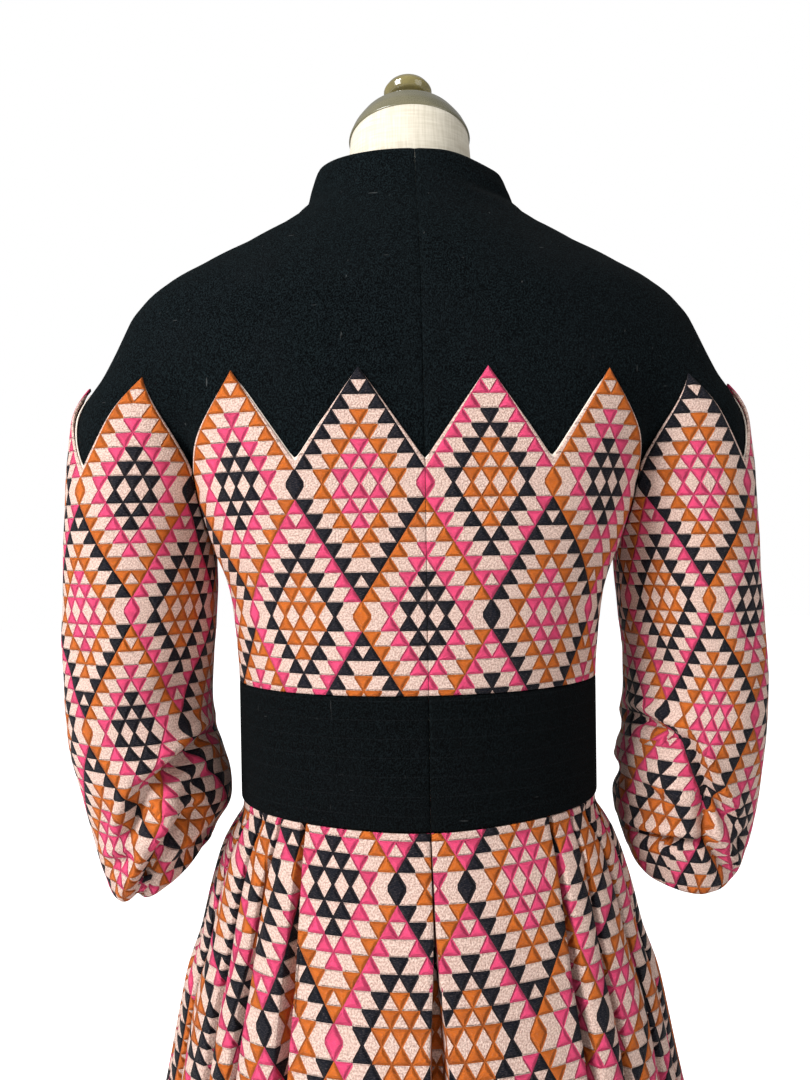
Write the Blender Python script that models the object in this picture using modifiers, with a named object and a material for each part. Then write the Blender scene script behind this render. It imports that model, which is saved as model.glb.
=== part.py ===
"""A fit-and-flare wool coat on a limbless dress form, every cut piece its own thin solid.

The coat is built on two families of level sections: one round the torso and one round each arm.
The black yoke follows both where they merge, and the patterned bodice and sleeves lie just outside it,
each ending in a zigzag edge. Below the waistband the skirt is a flared section folded into pleats.

Metres, +Z up. The front of the coat faces -Y, and +X is the wearer's left. The origin is on the floor,
under the middle of the hem.
"""

import functools
import math

import bmesh
import bpy
import numpy as np

MM = 0.001

# Cloth
PATTERNED_WALL = 2.5 * MM
CREPE_WALL = 2.0 * MM
BAND_WALL = 3.0 * MM
SEAM_GAP = 0.3 * MM
LAYER_GAP = 1.1 * MM                      # between the yoke and a panel that lies on it
PANEL_RISE = PATTERNED_WALL + LAYER_GAP   # the panels' outer face above the yoke's

# The woven repeat, which also sets the zigzag edge: a point is 7 units wide
UNIT = 13.4 * MM
POINT_WIDTH = 7 * UNIT
ZIGZAG_VALLEY = 1.2125
ZIGZAG_PEAK = 1.2800
YOKE_OVERLAP = 12 * MM                    # how far the yoke runs down behind the zigzag edge
ARMHOLE_OVERLAP = 4 * MM                  # and where that edge meets the armhole

# Heights of the coat's main lines
COLLAR_TOP = 1.457
BAND_TOP = 1.043
BAND_BOTTOM = 0.947
SKIRT_HEM = 0.430
BELOW_ARMPIT = 1.125

SIDE_SEAM = 0.002                         # how far behind the middle the side seams lie

# How finely the panels are divided; a narrow column beside a seam keeps its two inner edges apart
BODICE_ROWS = 5
BAND_COLUMNS = 11
VALLEY_STEPS = 4                          # from the last whole peak down to the armhole
ARMHOLE_STEPS = 10
BESIDE_SEAM = 3 * MM
SIDE_SHIFT = 0.30 * MM                    # at side and shoulder seams the walls' inner edges lean
SHOULDER_SHIFT = 0.60 * MM                # together, so the outer ones stand further apart
LAST_ARMHOLE_SHARE = 0.85                 # armhole columns nearer to the side seam than this are left out
YOKE_LEVELS = (1.302, 1.330, 1.354, 1.376, 1.397, 1.415, 1.430, 1.441, COLLAR_TOP)

# Dress form
FORM_CLEARANCE = 9.0 * MM
FORM_SEAT_GAP = 1.0 * MM                  # where the coat rests on the form's shoulders
NECK_TILT = math.tan(math.radians(15.0))
NECK_FOOT = 1.441
NECK_TOP = 1.4825
SEAT_BELOW, SEAT_ABOVE = 1.345, 1.380     # the form fills out towards its seat between these heights
COAT_GUIDES = (1.200, 1.430)              # between these heights the form stays within the coat
POLE_RADIUS = 0.015
BASE_RADIUS = 0.170
BASE_THICKNESS = 0.012
SOCKET_RADIUS = 0.026                     # the base's collar round the pole's foot
SOCKET_HEIGHT = 0.012
FORM_BOTTOM = 0.780


def table(columns, *rows):
    """A short table of sections, as one array for each named column."""
    return {name: np.array(values) for name, values in zip(columns.split(), zip(*rows))}


def at(rows, name, z):
    """A column of a table at any height, by a smooth curve that never overshoots its rows."""
    heights, values = rows["z"], rows[name]
    secant = np.diff(values) / np.diff(heights)
    slope = np.concatenate([secant[:1], np.zeros(len(values) - 2), secant[-1:]])
    rising = secant[:-1] * secant[1:]
    total = secant[:-1] + secant[1:]
    slope[1:-1] = np.where(rising > 0, 2 * rising / np.where(rising > 0, total, 1), 0)
    z = np.clip(z, heights[0], heights[-1])
    i = np.clip(np.searchsorted(heights, z, side="right") - 1, 0, len(heights) - 2)
    span = heights[i + 1] - heights[i]
    t = (z - heights[i]) / span
    return (values[i] * (1 + 2 * t) * (1 - t) ** 2 + slope[i] * span * t * (1 - t) ** 2
            + values[i + 1] * t * t * (3 - 2 * t) + slope[i + 1] * span * t * t * (t - 1))


# The torso's level sections under the panels: half width, depth behind and before, and squareness
TORSO = table(
    "z      half_width  back    front   square",
    (0.930,  0.1470,    0.1170, 0.1090, 2.00),
    (1.043,  0.1470,    0.1185, 0.1090, 2.05),
    (1.080,  0.1490,    0.1180, 0.1110, 2.20),
    (1.110,  0.1520,    0.1175, 0.1150, 2.40),
    (1.130,  0.1570,    0.1175, 0.1180, 2.55),
    (1.150,  0.1650,    0.1175, 0.1200, 2.70),
    (1.180,  0.1720,    0.1180, 0.1215, 2.90),
    (1.2125, 0.1770,    0.1190, 0.1220, 3.00),
    (1.250,  0.1960,    0.1185, 0.1205, 2.90),
    (1.291,  0.2190,    0.1160, 0.1180, 2.60),
    (1.324,  0.2260,    0.1130, 0.1150, 2.40),
    (1.341,  0.2230,    0.1105, 0.1130, 2.30),
    (1.3575, 0.2125,    0.1080, 0.1100, 2.20),
    (1.374,  0.1945,    0.1035, 0.1050, 2.10),
    (1.391,  0.1640,    0.0970, 0.0980, 2.00),
    (1.4075, 0.1300,    0.0885, 0.0900, 2.00),
    (1.424,  0.1010,    0.0785, 0.0830, 2.00),
    (1.431,  0.0920,    0.0740, 0.0805, 2.00),
    (1.441,  0.0865,    0.0690, 0.0775, 2.00),
    (1.457,  0.0770,    0.0620, 0.0720, 2.00),
)

# The arm's level sections under the sleeve, for the wearer's left
ARM = table(
    "z      outer   inner   depth   middle",
    (1.080,  0.2900, 0.1705, 0.0740, -0.006),
    (1.110,  0.2890, 0.1685, 0.0720, -0.005),
    (1.150,  0.2880, 0.1690, 0.0705, -0.004),
    (1.180,  0.2860, 0.1640, 0.0710, -0.003),
    (1.2125, 0.2840, 0.1580, 0.0715, -0.002),
    (1.250,  0.2780, 0.1500, 0.0705, -0.001),
    (1.274,  0.2680, 0.1420, 0.0695, 0.0),
    (1.291,  0.2575, 0.1350, 0.0680, 0.0),
    (1.3075, 0.2475, 0.1250, 0.0665, 0.0),
    (1.324,  0.2355, 0.1150, 0.0640, 0.0),
    (1.341,  0.2220, 0.1050, 0.0600, 0.0),
    (1.3575, 0.2030, 0.0950, 0.0540, 0.0),
    (1.374,  0.1750, 0.0800, 0.0450, 0.0),
    (1.391,  0.1420, 0.0660, 0.0360, 0.0),
    (1.4075, 0.1050, 0.0520, 0.0280, 0.0),
    (1.424,  0.0720, 0.0420, 0.0200, 0.0),
    (1.441,  0.0500, 0.0340, 0.0140, 0.0),
    (1.457,  0.0420, 0.0300, 0.0120, 0.0),
)

# How widely the torso and the arm melt into each other: not at all at the armhole, softly above it
MELT = table(
    "z       width",
    (1.2165, 0.0001),
    (1.2700, 0.0300),
    (1.4000, 0.0300),
)

# The sleeve's rings below the armpit, down to the turned-under hem
SLEEVE_RINGS = table(
    "z      outer   inner   depth   middle  drop_behind  rise_before",
    (1.090, 0.2930, 0.1670, 0.0765, -0.006, 0.000, 0.000),
    (1.055, 0.2940, 0.1695, 0.0790, -0.007, 0.000, 0.000),
    (1.020, 0.2925, 0.1715, 0.0805, -0.008, 0.000, 0.000),
    (0.988, 0.2905, 0.1660, 0.0815, -0.009, 0.001, 0.000),
    (0.958, 0.2855, 0.1610, 0.0805, -0.010, 0.005, 0.001),
    (0.930, 0.2805, 0.1625, 0.0780, -0.012, 0.014, 0.002),
    (0.904, 0.2745, 0.1730, 0.0690, -0.013, 0.028, 0.005),
    (0.893, 0.2695, 0.1800, 0.0600, -0.014, 0.036, 0.007),
    (0.896, 0.2655, 0.1840, 0.0550, -0.014, 0.034, 0.007),
    (0.908, 0.2635, 0.1860, 0.0520, -0.014, 0.030, 0.006),
)

# The skirt's outline, level by level
SKIRT = table(
    "z       half_width  back    front",
    (0.4300, 0.2800,     0.2680, 0.2680),
    (0.5000, 0.2640,     0.2510, 0.2490),
    (0.6000, 0.2400,     0.2240, 0.2200),
    (0.7075, 0.2140,     0.1940, 0.1880),
    (0.7740, 0.2000,     0.1770, 0.1700),
    (0.8075, 0.1930,     0.1680, 0.1610),
    (0.8410, 0.1820,     0.1570, 0.1500),
    (0.8740, 0.1730,     0.1470, 0.1390),
    (0.9240, 0.1560,     0.1280, 0.1190),
    (0.9380, 0.1500,     0.1215, 0.1125),
    (0.9470, 0.1500,     0.1215, 0.1125),
)
SKIRT_ROWS = (0.9465, 0.938, 0.908, 0.860, 0.785, 0.680, 0.560, 0.430)

# Pleats: each half has a wide flat panel beside centre back and centre front, a deep pleat at its
# edge, and narrow pleats in between
FLAT_AT_BAND = 0.098
FLAT_AT_HEM = 0.150
NARROW_PLEATS = 8
SIDE_PLEAT_COLUMN = 31                    # back and front skirt meet at the bottom of this pleat
PLEAT = table(
    "z      gap     depth   crown",
    (0.430,  0.0250, 0.0300, 0.0050),
    (0.645,  0.0160, 0.0230, 0.0040),
    (0.805,  0.0090, 0.0160, 0.0030),
    (0.900,  0.0060, 0.0100, 0.0015),
    (0.938,  0.0040, 0.0055, 0.0),
    (0.947,  0.0040, 0.0055, 0.0),
)
DEEP = 1.35                               # a deep pleat against a narrow one
# One pleat across its gap: place from edge to edge, and share of the depth
PLEAT_SHAPE = ((-0.50, 0.0), (-0.24, 0.80), (0.0, 1.0), (0.24, 0.80), (0.50, 0.0))

# The dress form's body, which ends in a plain neck
FORM = table(
    "z       half_width  back    front   square",
    (0.780,  0.1400,     0.1150, 0.1050, 2.3),
    (0.790,  0.1480,     0.1230, 0.1130, 2.3),
    (0.830,  0.1490,     0.1240, 0.1150, 2.3),
    (0.880,  0.1400,     0.1150, 0.1060, 2.2),
    (0.940,  0.1300,     0.1020, 0.0940, 2.1),
    (0.995,  0.1270,     0.1000, 0.0910, 2.1),
    (1.043,  0.1310,     0.1030, 0.0940, 2.1),
    (1.100,  0.1410,     0.1070, 0.1040, 2.2),
    (1.160,  0.1530,     0.1080, 0.1090, 2.3),
    (1.220,  0.1640,     0.1095, 0.1100, 2.3),
    (1.290,  0.1720,     0.1080, 0.1080, 2.3),
    (1.340,  0.1740,     0.1060, 0.1060, 2.3),
    (1.385,  0.1720,     0.1040, 0.1040, 2.3),
    (1.412,  0.1300,     0.0900, 0.0950, 2.1),
    (1.4235, 0.0930,     0.0720, 0.0760, 2.0),
    (1.431,  0.0740,     0.0610, 0.0640, 2.0),
    (1.441,  0.0600,     0.0540, 0.0560, 2.0),
    (1.455,  0.0520,     0.0500, 0.0510, 2.0),
    (1.4825, 0.0490,     0.0490, 0.0490, 2.0),
)
FORM_ROWS = (0.780, 0.790, 0.830, 0.880, 0.940, 1.000, 1.100, 1.230, 1.320, 1.354,
             1.376, 1.397, 1.415, 1.430, 1.441, 1.456, 1.4825)
FORM_SIDES = 36

# The neck cap and the knob as turned profiles, top to bottom: radius and height above the neck's top
CAP_PROFILE = ((0.0, 0.0375), (0.014, 0.0365), (0.028, 0.0315), (0.039, 0.0225), (0.0465, 0.0115),
               (0.0500, 0.0035), (0.0500, 0.0003), (0.0, 0.0003))
KNOB_PROFILE = ((0.0, 0.0600), (0.009, 0.0592), (0.0165, 0.0560), (0.0205, 0.0500), (0.0185, 0.0438),
                (0.0110, 0.0408), (0.0090, 0.0378), (0.0, 0.0378))


def distance_from(level):
    """The distance from a surface that is given as a level function, found by its own steepness."""
    step = 1e-4

    def distance(x, y, z):
        dx = level(x + step, y, z) - level(x - step, y, z)
        dy = level(x, y + step, z) - level(x, y - step, z)
        dz = level(x, y, z + step) - level(x, y, z - step)
        steepness = np.sqrt(dx * dx + dy * dy + dz * dz) / (2 * step)
        return level(x, y, z) / np.maximum(steepness, 1.0)

    return distance


def torso_level(x, y, z):
    depth = np.where(y > 0, at(TORSO, "back", z), at(TORSO, "front", z))
    power = at(TORSO, "square", z)
    across = np.abs(x) / at(TORSO, "half_width", z)
    return (across ** power + (np.abs(y) / depth) ** power) ** (1 / power) - 1


def arm_level(x, y, z):
    outer, inner = at(ARM, "outer", z), at(ARM, "inner", z)
    across = (x - (outer + inner) / 2) / ((outer - inner) / 2)
    return np.hypot(across, (y - at(ARM, "middle", z)) / at(ARM, "depth", z)) - 1


torso = distance_from(torso_level)
arm = distance_from(arm_level)


def torso_and_arm(x, y, z):
    """The two surfaces melted into one, as the yoke covers them."""
    body, limb = torso(x, y, z), arm(x, y, z)
    width = at(MELT, "width", z)
    near = np.maximum(width - np.abs(body - limb), 0) / width
    return np.minimum(body, limb) - near * near * width / 4


def trace(surface, z, rise, start_x, angles, looks=2):
    """Where rays from points inside last leave a surface that is raised by some distance.

    A section that a ray may cross more than once needs more looks along the ray. The heights, the
    rays' starts and their angles may be whole arrays, and the result has x and y on its last axis.
    """
    z, start_x, angles = np.broadcast_arrays(z, start_x, angles)
    ray_x, ray_y = np.cos(angles), np.sin(angles)
    longest = 0.40
    near = np.zeros(z.shape)
    for reach in np.linspace(0.0, longest, looks)[:-1]:
        inside = surface(start_x + reach * ray_x, reach * ray_y, z) < rise
        near = np.where(inside, reach, near)
    far = near + longest / (looks - 1)
    for _ in range(20):
        middle = (near + far) / 2
        inside = surface(start_x + middle * ray_x, middle * ray_y, z) < rise
        near = np.where(inside, middle, near)
        far = np.where(inside, far, middle)
    return np.stack([start_x + near * ray_x, near * ray_y], axis=-1)


def run_of(points):
    """Length along a line of points, from its first one."""
    return np.concatenate([[0.0], np.cumsum(np.hypot(*np.diff(points, axis=0).T))])


def along(points, distances):
    """Points at given lengths along a line of points."""
    run = run_of(points)
    return np.stack([np.interp(distances, run, points[:, k]) for k in (0, 1)], axis=1)


# The sections of the upper coat are traced once, level by level, and read at heights in between
LEVEL_STEP = 0.004
ARM_APART = 1.37                          # up to here the arm is what makes the upper coat widest
RAYS_FROM = 0.42                          # the yoke's rays start this share of the way to its side
RAYS_BEYOND = 1.04                        # and sweep a little past the middle plane
LEVELS = np.arange(0.930, COLLAR_TOP + LEVEL_STEP, LEVEL_STEP)[:, None]
ARM_ANGLES = np.linspace(0.0, 2 * math.pi, 121)


def between_levels(stack, z):
    place = (z - LEVELS[0, 0]) / LEVEL_STEP
    lower = int(np.clip(math.floor(place), 0, len(LEVELS) - 2))
    share = place - lower
    return stack[lower] * (1 - share) + stack[lower + 1] * share


@functools.cache
def torso_stack(rise):
    return trace(torso, LEVELS, rise, 0.0, np.linspace(math.pi / 2, -math.pi / 2, 181))


@functools.cache
def arm_stack(rise):
    centres = (at(ARM, "outer", LEVELS) + at(ARM, "inner", LEVELS)) / 2
    return trace(arm, LEVELS, rise, centres, ARM_ANGLES)


@functools.cache
def yoke_stack():
    """The melted section, by rays from a point part way to the shoulder, and where it is widest."""
    arm_width = np.where(LEVELS < ARM_APART, at(ARM, "outer", LEVELS), 0)
    start = RAYS_FROM * np.maximum(at(TORSO, "half_width", LEVELS), arm_width)
    back_angle = math.pi / 2 + np.arctan2(start, at(TORSO, "back", LEVELS))
    front_angle = math.pi / 2 + np.arctan2(start, at(TORSO, "front", LEVELS))
    share = np.linspace(0, 1, 241)
    angles = RAYS_BEYOND * (back_angle - (back_angle + front_angle) * share)
    return trace(torso_and_arm, LEVELS, 0.0, start, angles, looks=41)


def torso_half(z, rise=PANEL_RISE):
    """The bodice's section on the wearer's left, from centre back to centre front."""
    return between_levels(torso_stack(rise), z)


def arm_point(z, angle, rise=PANEL_RISE):
    """A point of the sleeve at an angle: 0 outermost, 90 degrees behind, 180 against the body."""
    ring = between_levels(arm_stack(rise), z)
    angle = angle % (2 * math.pi)
    return np.array([np.interp(angle, ARM_ANGLES, ring[:, k]) for k in (0, 1)])


def yoke_section(z):
    """The yoke's section on the wearer's left, and how far round each point lies.

    That is 0 at centre back, 1 at the outermost point and 2 at centre front.
    """
    ring = between_levels(yoke_stack(), z)
    ring = ring[ring[:, 0] > 0]
    ring = np.vstack([[0.0, ring[0, 1]], ring, [0.0, ring[-1, 1]]])
    run = run_of(ring)
    middle = at(ARM, "middle", z)
    near_side = ring[:-1, 0] > 0.8 * ring[:, 0].max()
    last_behind = int(np.nonzero(near_side & (ring[:-1, 1] > middle))[0][-1])
    step = slice(last_behind, last_behind + 2)
    outermost = np.interp(-middle, -ring[step, 1], run[step])
    return ring, np.where(run < outermost, run / outermost, 1 + (run - outermost) / (run[-1] - outermost))


def zigzag(units):
    """The height of the zigzag edge, at a distance in units from a valley."""
    swing = 1 - np.abs((units / 3.5) % 2 - 1)
    return ZIGZAG_VALLEY + (ZIGZAG_PEAK - ZIGZAG_VALLEY) * swing


def height_where(test, low, high):
    """The height at which a test that holds below stops holding above."""
    for _ in range(16):
        middle = (low + high) / 2
        if test(middle):
            low = middle
        else:
            high = middle
    return low


def new_material(name, colour, roughness, metallic=0.0):
    material = bpy.data.materials.new(name)
    material.use_nodes = True
    shader = material.node_tree.nodes["Principled BSDF"]
    shader.inputs["Base Color"].default_value = (*colour, 1.0)
    shader.inputs["Roughness"].default_value = roughness
    shader.inputs["Metallic"].default_value = metallic
    return material


def add_grid(name, rows, material, collection, wall=0.0, closed=False, mirrored=False):
    """An open grid of points as a surface facing away from the garment's inside, thickened inward."""
    rows = np.array(rows) * (-1 if mirrored else 1, 1, 1)
    mesh = bpy.data.meshes.new(name)
    work = bmesh.new()
    vertices = [[work.verts.new(point) for point in row] for row in rows]
    columns = rows.shape[1]
    turn = -1 if mirrored else 1
    for upper, lower in zip(vertices, vertices[1:]):
        for c in range(columns if closed else columns - 1):
            d = (c + 1) % columns
            # Every grid is cut along the same diagonal, so that cloth lies parallel to what covers it
            work.faces.new((upper[c], upper[d], lower[d])[::turn])
            work.faces.new((upper[c], lower[d], lower[c])[::turn])
    work.to_mesh(mesh)
    work.free()
    mesh.shade_smooth()
    item = bpy.data.objects.new(name, mesh)
    item.data.materials.append(material)
    collection.objects.link(item)
    if wall:
        thicken = item.modifiers.new("wall", "SOLIDIFY")
        thicken.thickness = wall
        thicken.offset = -1.0
        thicken.use_even_offset = True
    return item


def mirror_rows(rows):
    """The same grid on the wearer's right, with its columns turned round to run on from the left's."""
    flipped = np.array(rows)[:, ::-1].copy()
    flipped[:, :, 0] *= -1
    return flipped


def open_seam(rows, column, shift):
    """Move one edge column of a grid sideways by half a seam's gap."""
    rows[:, column, 0] += shift
    return rows


def body_columns():
    """Distances of the bodice's columns from centre back or centre front, up to its last whole peak."""
    return [0.0, BESIDE_SEAM] + [UNIT * units for units in (1.75, 3.5, 5.25, 7, 8.75, 10.5)]


def sleeve_clear_height(angle):
    """How high a line up the sleeve goes before it meets the bodice."""
    def clear(z):
        x, y = arm_point(z, angle)
        return torso(x, y, z) > PANEL_RISE + SEAM_GAP

    return height_where(clear, BELOW_ARMPIT, ZIGZAG_PEAK)


def armhole():
    """Angles and points of the armhole on the sleeve, from the valley behind, under, to the one before."""
    beside = math.radians(100)
    back = height_where(lambda a: sleeve_clear_height(a) > ZIGZAG_VALLEY, beside, math.pi)
    front = height_where(lambda a: sleeve_clear_height(-a) > ZIGZAG_VALLEY, beside, math.pi)
    angles = np.linspace(back, 2 * math.pi - front, ARMHOLE_STEPS + 1)
    points = []
    for angle in angles:
        z = sleeve_clear_height(angle)
        points.append((*arm_point(z, angle), z))
    return angles, np.array(points)


def place_on(section, point):
    """The length along a section at which it passes nearest to a point."""
    fine = np.linspace(0, run_of(section)[-1], 1601)
    spots = along(section, fine)
    return fine[np.argmin(np.hypot(spots[:, 0] - point[0], spots[:, 1] - point[1]))]


def place_behind_middle(section, depth):
    """The length along a section, from either of its ends, at which it reaches some depth."""
    facing = np.sign(section[-1, 1] - section[0, 1])
    return np.interp(facing * depth, facing * section[:, 1], run_of(section))


def bodice_grid(front, armhole_points):
    """One quarter of the bodice on the wearer's left, from its centre seam to its side seam.

    The second result is the number of its column at the armhole's valley.
    """
    def half(z):
        section = torso_half(z)
        return section[::-1] if front else section

    def side(z):
        return place_behind_middle(half(z), SIDE_SEAM)

    def clear_of_arm(z):
        x, y = along(half(z), [side(z)])[0]
        return arm(x, y, z) > PANEL_RISE + SEAM_GAP

    centre = body_columns()
    last = centre[-1]
    tops = [float(zigzag(distance / UNIT)) if distance > BESIDE_SEAM else ZIGZAG_VALLEY for distance in centre]
    shares = []
    line = armhole_points[::-1] if front else armhole_points
    valley = (place_on(half(line[0][2]), line[0]) - last) / (side(line[0][2]) - last)
    for step in range(1, VALLEY_STEPS):
        shares.append(valley * step / VALLEY_STEPS)
        tops.append(ZIGZAG_PEAK + (ZIGZAG_VALLEY - ZIGZAG_PEAK) * step / VALLEY_STEPS)
    for point in line:
        share = (place_on(half(point[2]), point) - last) / (side(point[2]) - last)
        if share > LAST_ARMHOLE_SHARE:
            break
        shares.append(share)
        tops.append(float(point[2]))
    shares.append(1.0)
    tops.append(height_where(clear_of_arm, BELOW_ARMPIT, ZIGZAG_VALLEY))
    at_valley = len(centre) + VALLEY_STEPS - 1

    low = BAND_TOP + SEAM_GAP
    columns = []
    for number, top in enumerate(tops):
        behind_edge = YOKE_OVERLAP if number < at_valley else ARMHOLE_OVERLAP
        heights = [top, *np.linspace(top - behind_edge, low, BODICE_ROWS + 1)]
        column = []
        for z in heights:
            if number < len(centre):
                distance = centre[number]
            else:
                distance = last + (side(z) - SIDE_SHIFT - last) * shares[number - len(centre)]
            column.append((*along(half(z), [distance])[0], z))
        columns.append(column)
    return np.array(columns).transpose(1, 0, 2), at_valley


def sleeve_outline(armhole_angles, armhole_points):
    """Angles of the sleeve's columns, the heights of its top edge, and how many lie on the outer side."""
    back, front = armhole_angles[0], armhole_angles[-1] - 2 * math.pi
    sweep = np.linspace(back, front, 145)
    line = np.array([arm_point((ZIGZAG_VALLEY + ZIGZAG_PEAK) / 2, angle) for angle in sweep])
    run = run_of(line)
    whole_points = int(run[-1] / POINT_WIDTH)
    left_over = run[-1] - whole_points * POINT_WIDTH
    stations = [k * POINT_WIDTH / 4 for k in range(whole_points * 4 + 1)]
    stations += [run[-1] - left_over / 2, run[-1]]
    # The station nearest the outermost line goes onto it, with a close one on each side, for the
    # shoulder seam
    outermost = float(np.interp(0.0, -sweep, run))
    nearest = int(np.argmin(np.abs(np.array(stations) - outermost)))
    stations[nearest:nearest + 1] = [outermost - BESIDE_SEAM, outermost, outermost + BESIDE_SEAM]
    angles, tops = [], []
    for station in stations:
        angles.append(float(np.interp(station, run, sweep)))
        rest = station - whole_points * POINT_WIDTH
        # The last point before the front armhole is as small as the cloth that is left for it
        reach = min(rest, left_over - rest) if rest > 0 else station
        tops.append(float(zigzag(reach / UNIT)))
    outer_count = len(angles)
    for angle, point in zip(armhole_angles[::-1][1:-1], armhole_points[::-1][1:-1]):
        angles.append(float(angle))
        tops.append(float(point[2]))
    return np.array(angles), np.array(tops), outer_count


def sleeve_grid(angles, tops, outer_count):
    """The whole sleeve on the wearer's left: armhole and zigzag down to the hem inside."""
    columns = []
    for number, (angle, top) in enumerate(zip(angles, tops)):
        behind_edge = YOKE_OVERLAP if 0 < number < outer_count - 1 else ARMHOLE_OVERLAP
        column = []
        for z in (top, *np.linspace(top - behind_edge, BELOW_ARMPIT, 4)):
            column.append((*arm_point(z, angle), z))
        swing = math.sin(angle)
        for z, outer, inner, depth, middle, drop, rise in zip(*SLEEVE_RINGS.values()):
            sag = -drop * swing * swing if swing > 0 else rise * swing * swing
            x = (outer + inner) / 2 + (outer - inner) / 2 * math.cos(angle)
            column.append((x, middle + depth * swing, z + sag))
        columns.append(column)
    return np.array(columns).transpose(1, 0, 2)


def cloth_under(strips):
    """The line of cloth that lies behind a run of strips, moved inward from each strip's own faces.

    A strip is the two top rows of a panel, and the strips follow each other from centre back to
    centre front. Where two meet, the cloth lies in the corner behind both.
    """
    faces = []
    for strip in strips:
        upper, lower = strip
        up = (upper - lower)[:-1] + (upper - lower)[1:]
        onward = np.diff(upper, axis=0) + np.diff(lower, axis=0)
        normals = np.cross(up, onward)
        faces.append(normals / np.linalg.norm(normals, axis=1)[:, None])
    rows = []
    for level in (0, 1):
        row = []
        for number, strip in enumerate(strips):
            points = strip[level]
            for k, point in enumerate(points):
                if k == 0 and number:
                    continue
                left = faces[number][k - 1] if k else faces[number][0] * (-1, 1, 1)
                shift = -PANEL_RISE
                if k < len(points) - 1:
                    right = faces[number][k]
                elif number < len(strips) - 1:
                    right = faces[number + 1][0]
                    shift = right @ (strips[number + 1][level][0] - point) - PANEL_RISE
                else:
                    right = left * (-1, 1, 1)
                sides = np.array([left[:2], right[:2]])
                move = np.linalg.pinv(sides, rcond=0.3) @ np.array([-PANEL_RISE, shift])
                row.append((*(point[:2] + move), point[2]))
        rows.append(row)
    return np.array(rows)


def yoke_grid(strip):
    """Half the yoke on the wearer's left, from its centre-back seam over the shoulder to centre front."""
    columns = []
    for upper, lower in zip(*strip):
        section, around = yoke_section(upper[2])
        way = np.interp(place_on(section, upper), run_of(section), around)
        column = [lower, upper]
        for z in ((upper[2] + YOKE_LEVELS[0]) / 2, *YOKE_LEVELS):
            section, around = yoke_section(z)
            column.append((*(np.interp(way, around, section[:, k]) for k in (0, 1)), z))
        columns.append(column)
    return np.array(columns).transpose(1, 0, 2)[::-1]


def band_grid(front):
    """One quarter of the waistband on the wearer's left."""
    rows = []
    for z in (BAND_TOP, (BAND_TOP + BAND_BOTTOM) / 2, BAND_BOTTOM):
        section = torso_half(z)[::-1] if front else torso_half(z)
        end = place_behind_middle(section, SIDE_SEAM) - SEAM_GAP / 2
        distances = [0.0, *np.linspace(BESIDE_SEAM, end - BESIDE_SEAM, BAND_COLUMNS), end]
        row = np.array([(x, y, z) for x, y in along(section, distances)])
        row[1, 1] = row[0, 1]
        rows.append(row)
    return np.array(rows)


def skirt_section(z):
    """The skirt's outline on the wearer's left, from centre back to centre front."""
    half_width = at(SKIRT, "half_width", z)
    angles = np.linspace(math.pi / 2, -math.pi / 2, 361)
    depth = np.where(angles > 0, at(SKIRT, "back", z), at(SKIRT, "front", z))
    return np.stack([half_width * np.cos(angles), depth * np.sin(angles)], axis=1)


def pleat_columns(z):
    """Place and depth of every column round half the skirt, for one level."""
    total = run_of(skirt_section(z))[-1]
    gap, depth, crown = (float(at(PLEAT, name, z)) for name in ("gap", "depth", "crown"))
    fall = (BAND_BOTTOM - z) / (BAND_BOTTOM - SKIRT_HEM)
    flat = FLAT_AT_BAND + (FLAT_AT_HEM - FLAT_AT_BAND) * fall
    places = np.linspace(flat, total - flat, NARROW_PLEATS + 2)
    edge = 0.5 * DEEP * gap
    columns = [(0.0, DEEP * depth), (0.6 * edge, DEEP * depth), (edge, 0.0)]
    for number, place in enumerate(places):
        deep = number in (0, len(places) - 1)
        size = DEEP if deep else 1.0
        start = place - gap * size / 2
        between = 3 if number == 0 else 2
        for step in range(1, between):
            share = step / between
            columns.append((edge + (start - edge) * share, -crown if number else 0.0))
        for across, share in PLEAT_SHAPE:
            columns.append((place + across * gap * size, share * depth * size))
        edge = place + gap * size / 2
    for place in (edge + (total - edge) * 0.34, edge + (total - edge) * 0.67, total - BESIDE_SEAM, total):
        columns.append((place, 0.0))
    return columns


def skirt_grid():
    """Half the skirt on the wearer's left, from centre back to centre front."""
    rows = []
    for z in SKIRT_ROWS:
        section = skirt_section(z)
        run = run_of(section)
        columns = pleat_columns(z)
        places = np.array([place for place, _ in columns])
        depths = np.array([depth for _, depth in columns])
        points = along(section, places)
        ahead = along(section, np.minimum(places + 0.002, run[-1]))
        behind = along(section, np.maximum(places - 0.002, 0.0))
        direction = ahead - behind
        direction /= np.hypot(direction[:, 0], direction[:, 1])[:, None]
        inward = np.stack([direction[:, 1], -direction[:, 0]], axis=1)
        points = points + inward * depths[:, None]
        rows.append([(x, y, z) for x, y in points])
    return np.array(rows)


def form_surface(x, y, z):
    """The dress form: its own body, kept inside the coat, which rests on its shoulders."""
    depth = np.where(y > 0, at(FORM, "back", z), at(FORM, "front", z))
    power = at(FORM, "square", z)
    across = np.abs(x) / at(FORM, "half_width", z)
    own = (across ** power + (np.abs(y) / depth) ** power) ** (1 / power) - 1
    seated = np.clip((z - SEAT_BELOW) / (SEAT_ABOVE - SEAT_BELOW), 0.0, 1.0)
    inset = FORM_CLEARANCE + (CREPE_WALL + FORM_SEAT_GAP - FORM_CLEARANCE) * seated
    inside_coat = torso_and_arm(np.abs(x), y, z) + inset
    return np.where((z > COAT_GUIDES[0]) & (z < COAT_GUIDES[1]), np.maximum(own, inside_coat), own)


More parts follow.
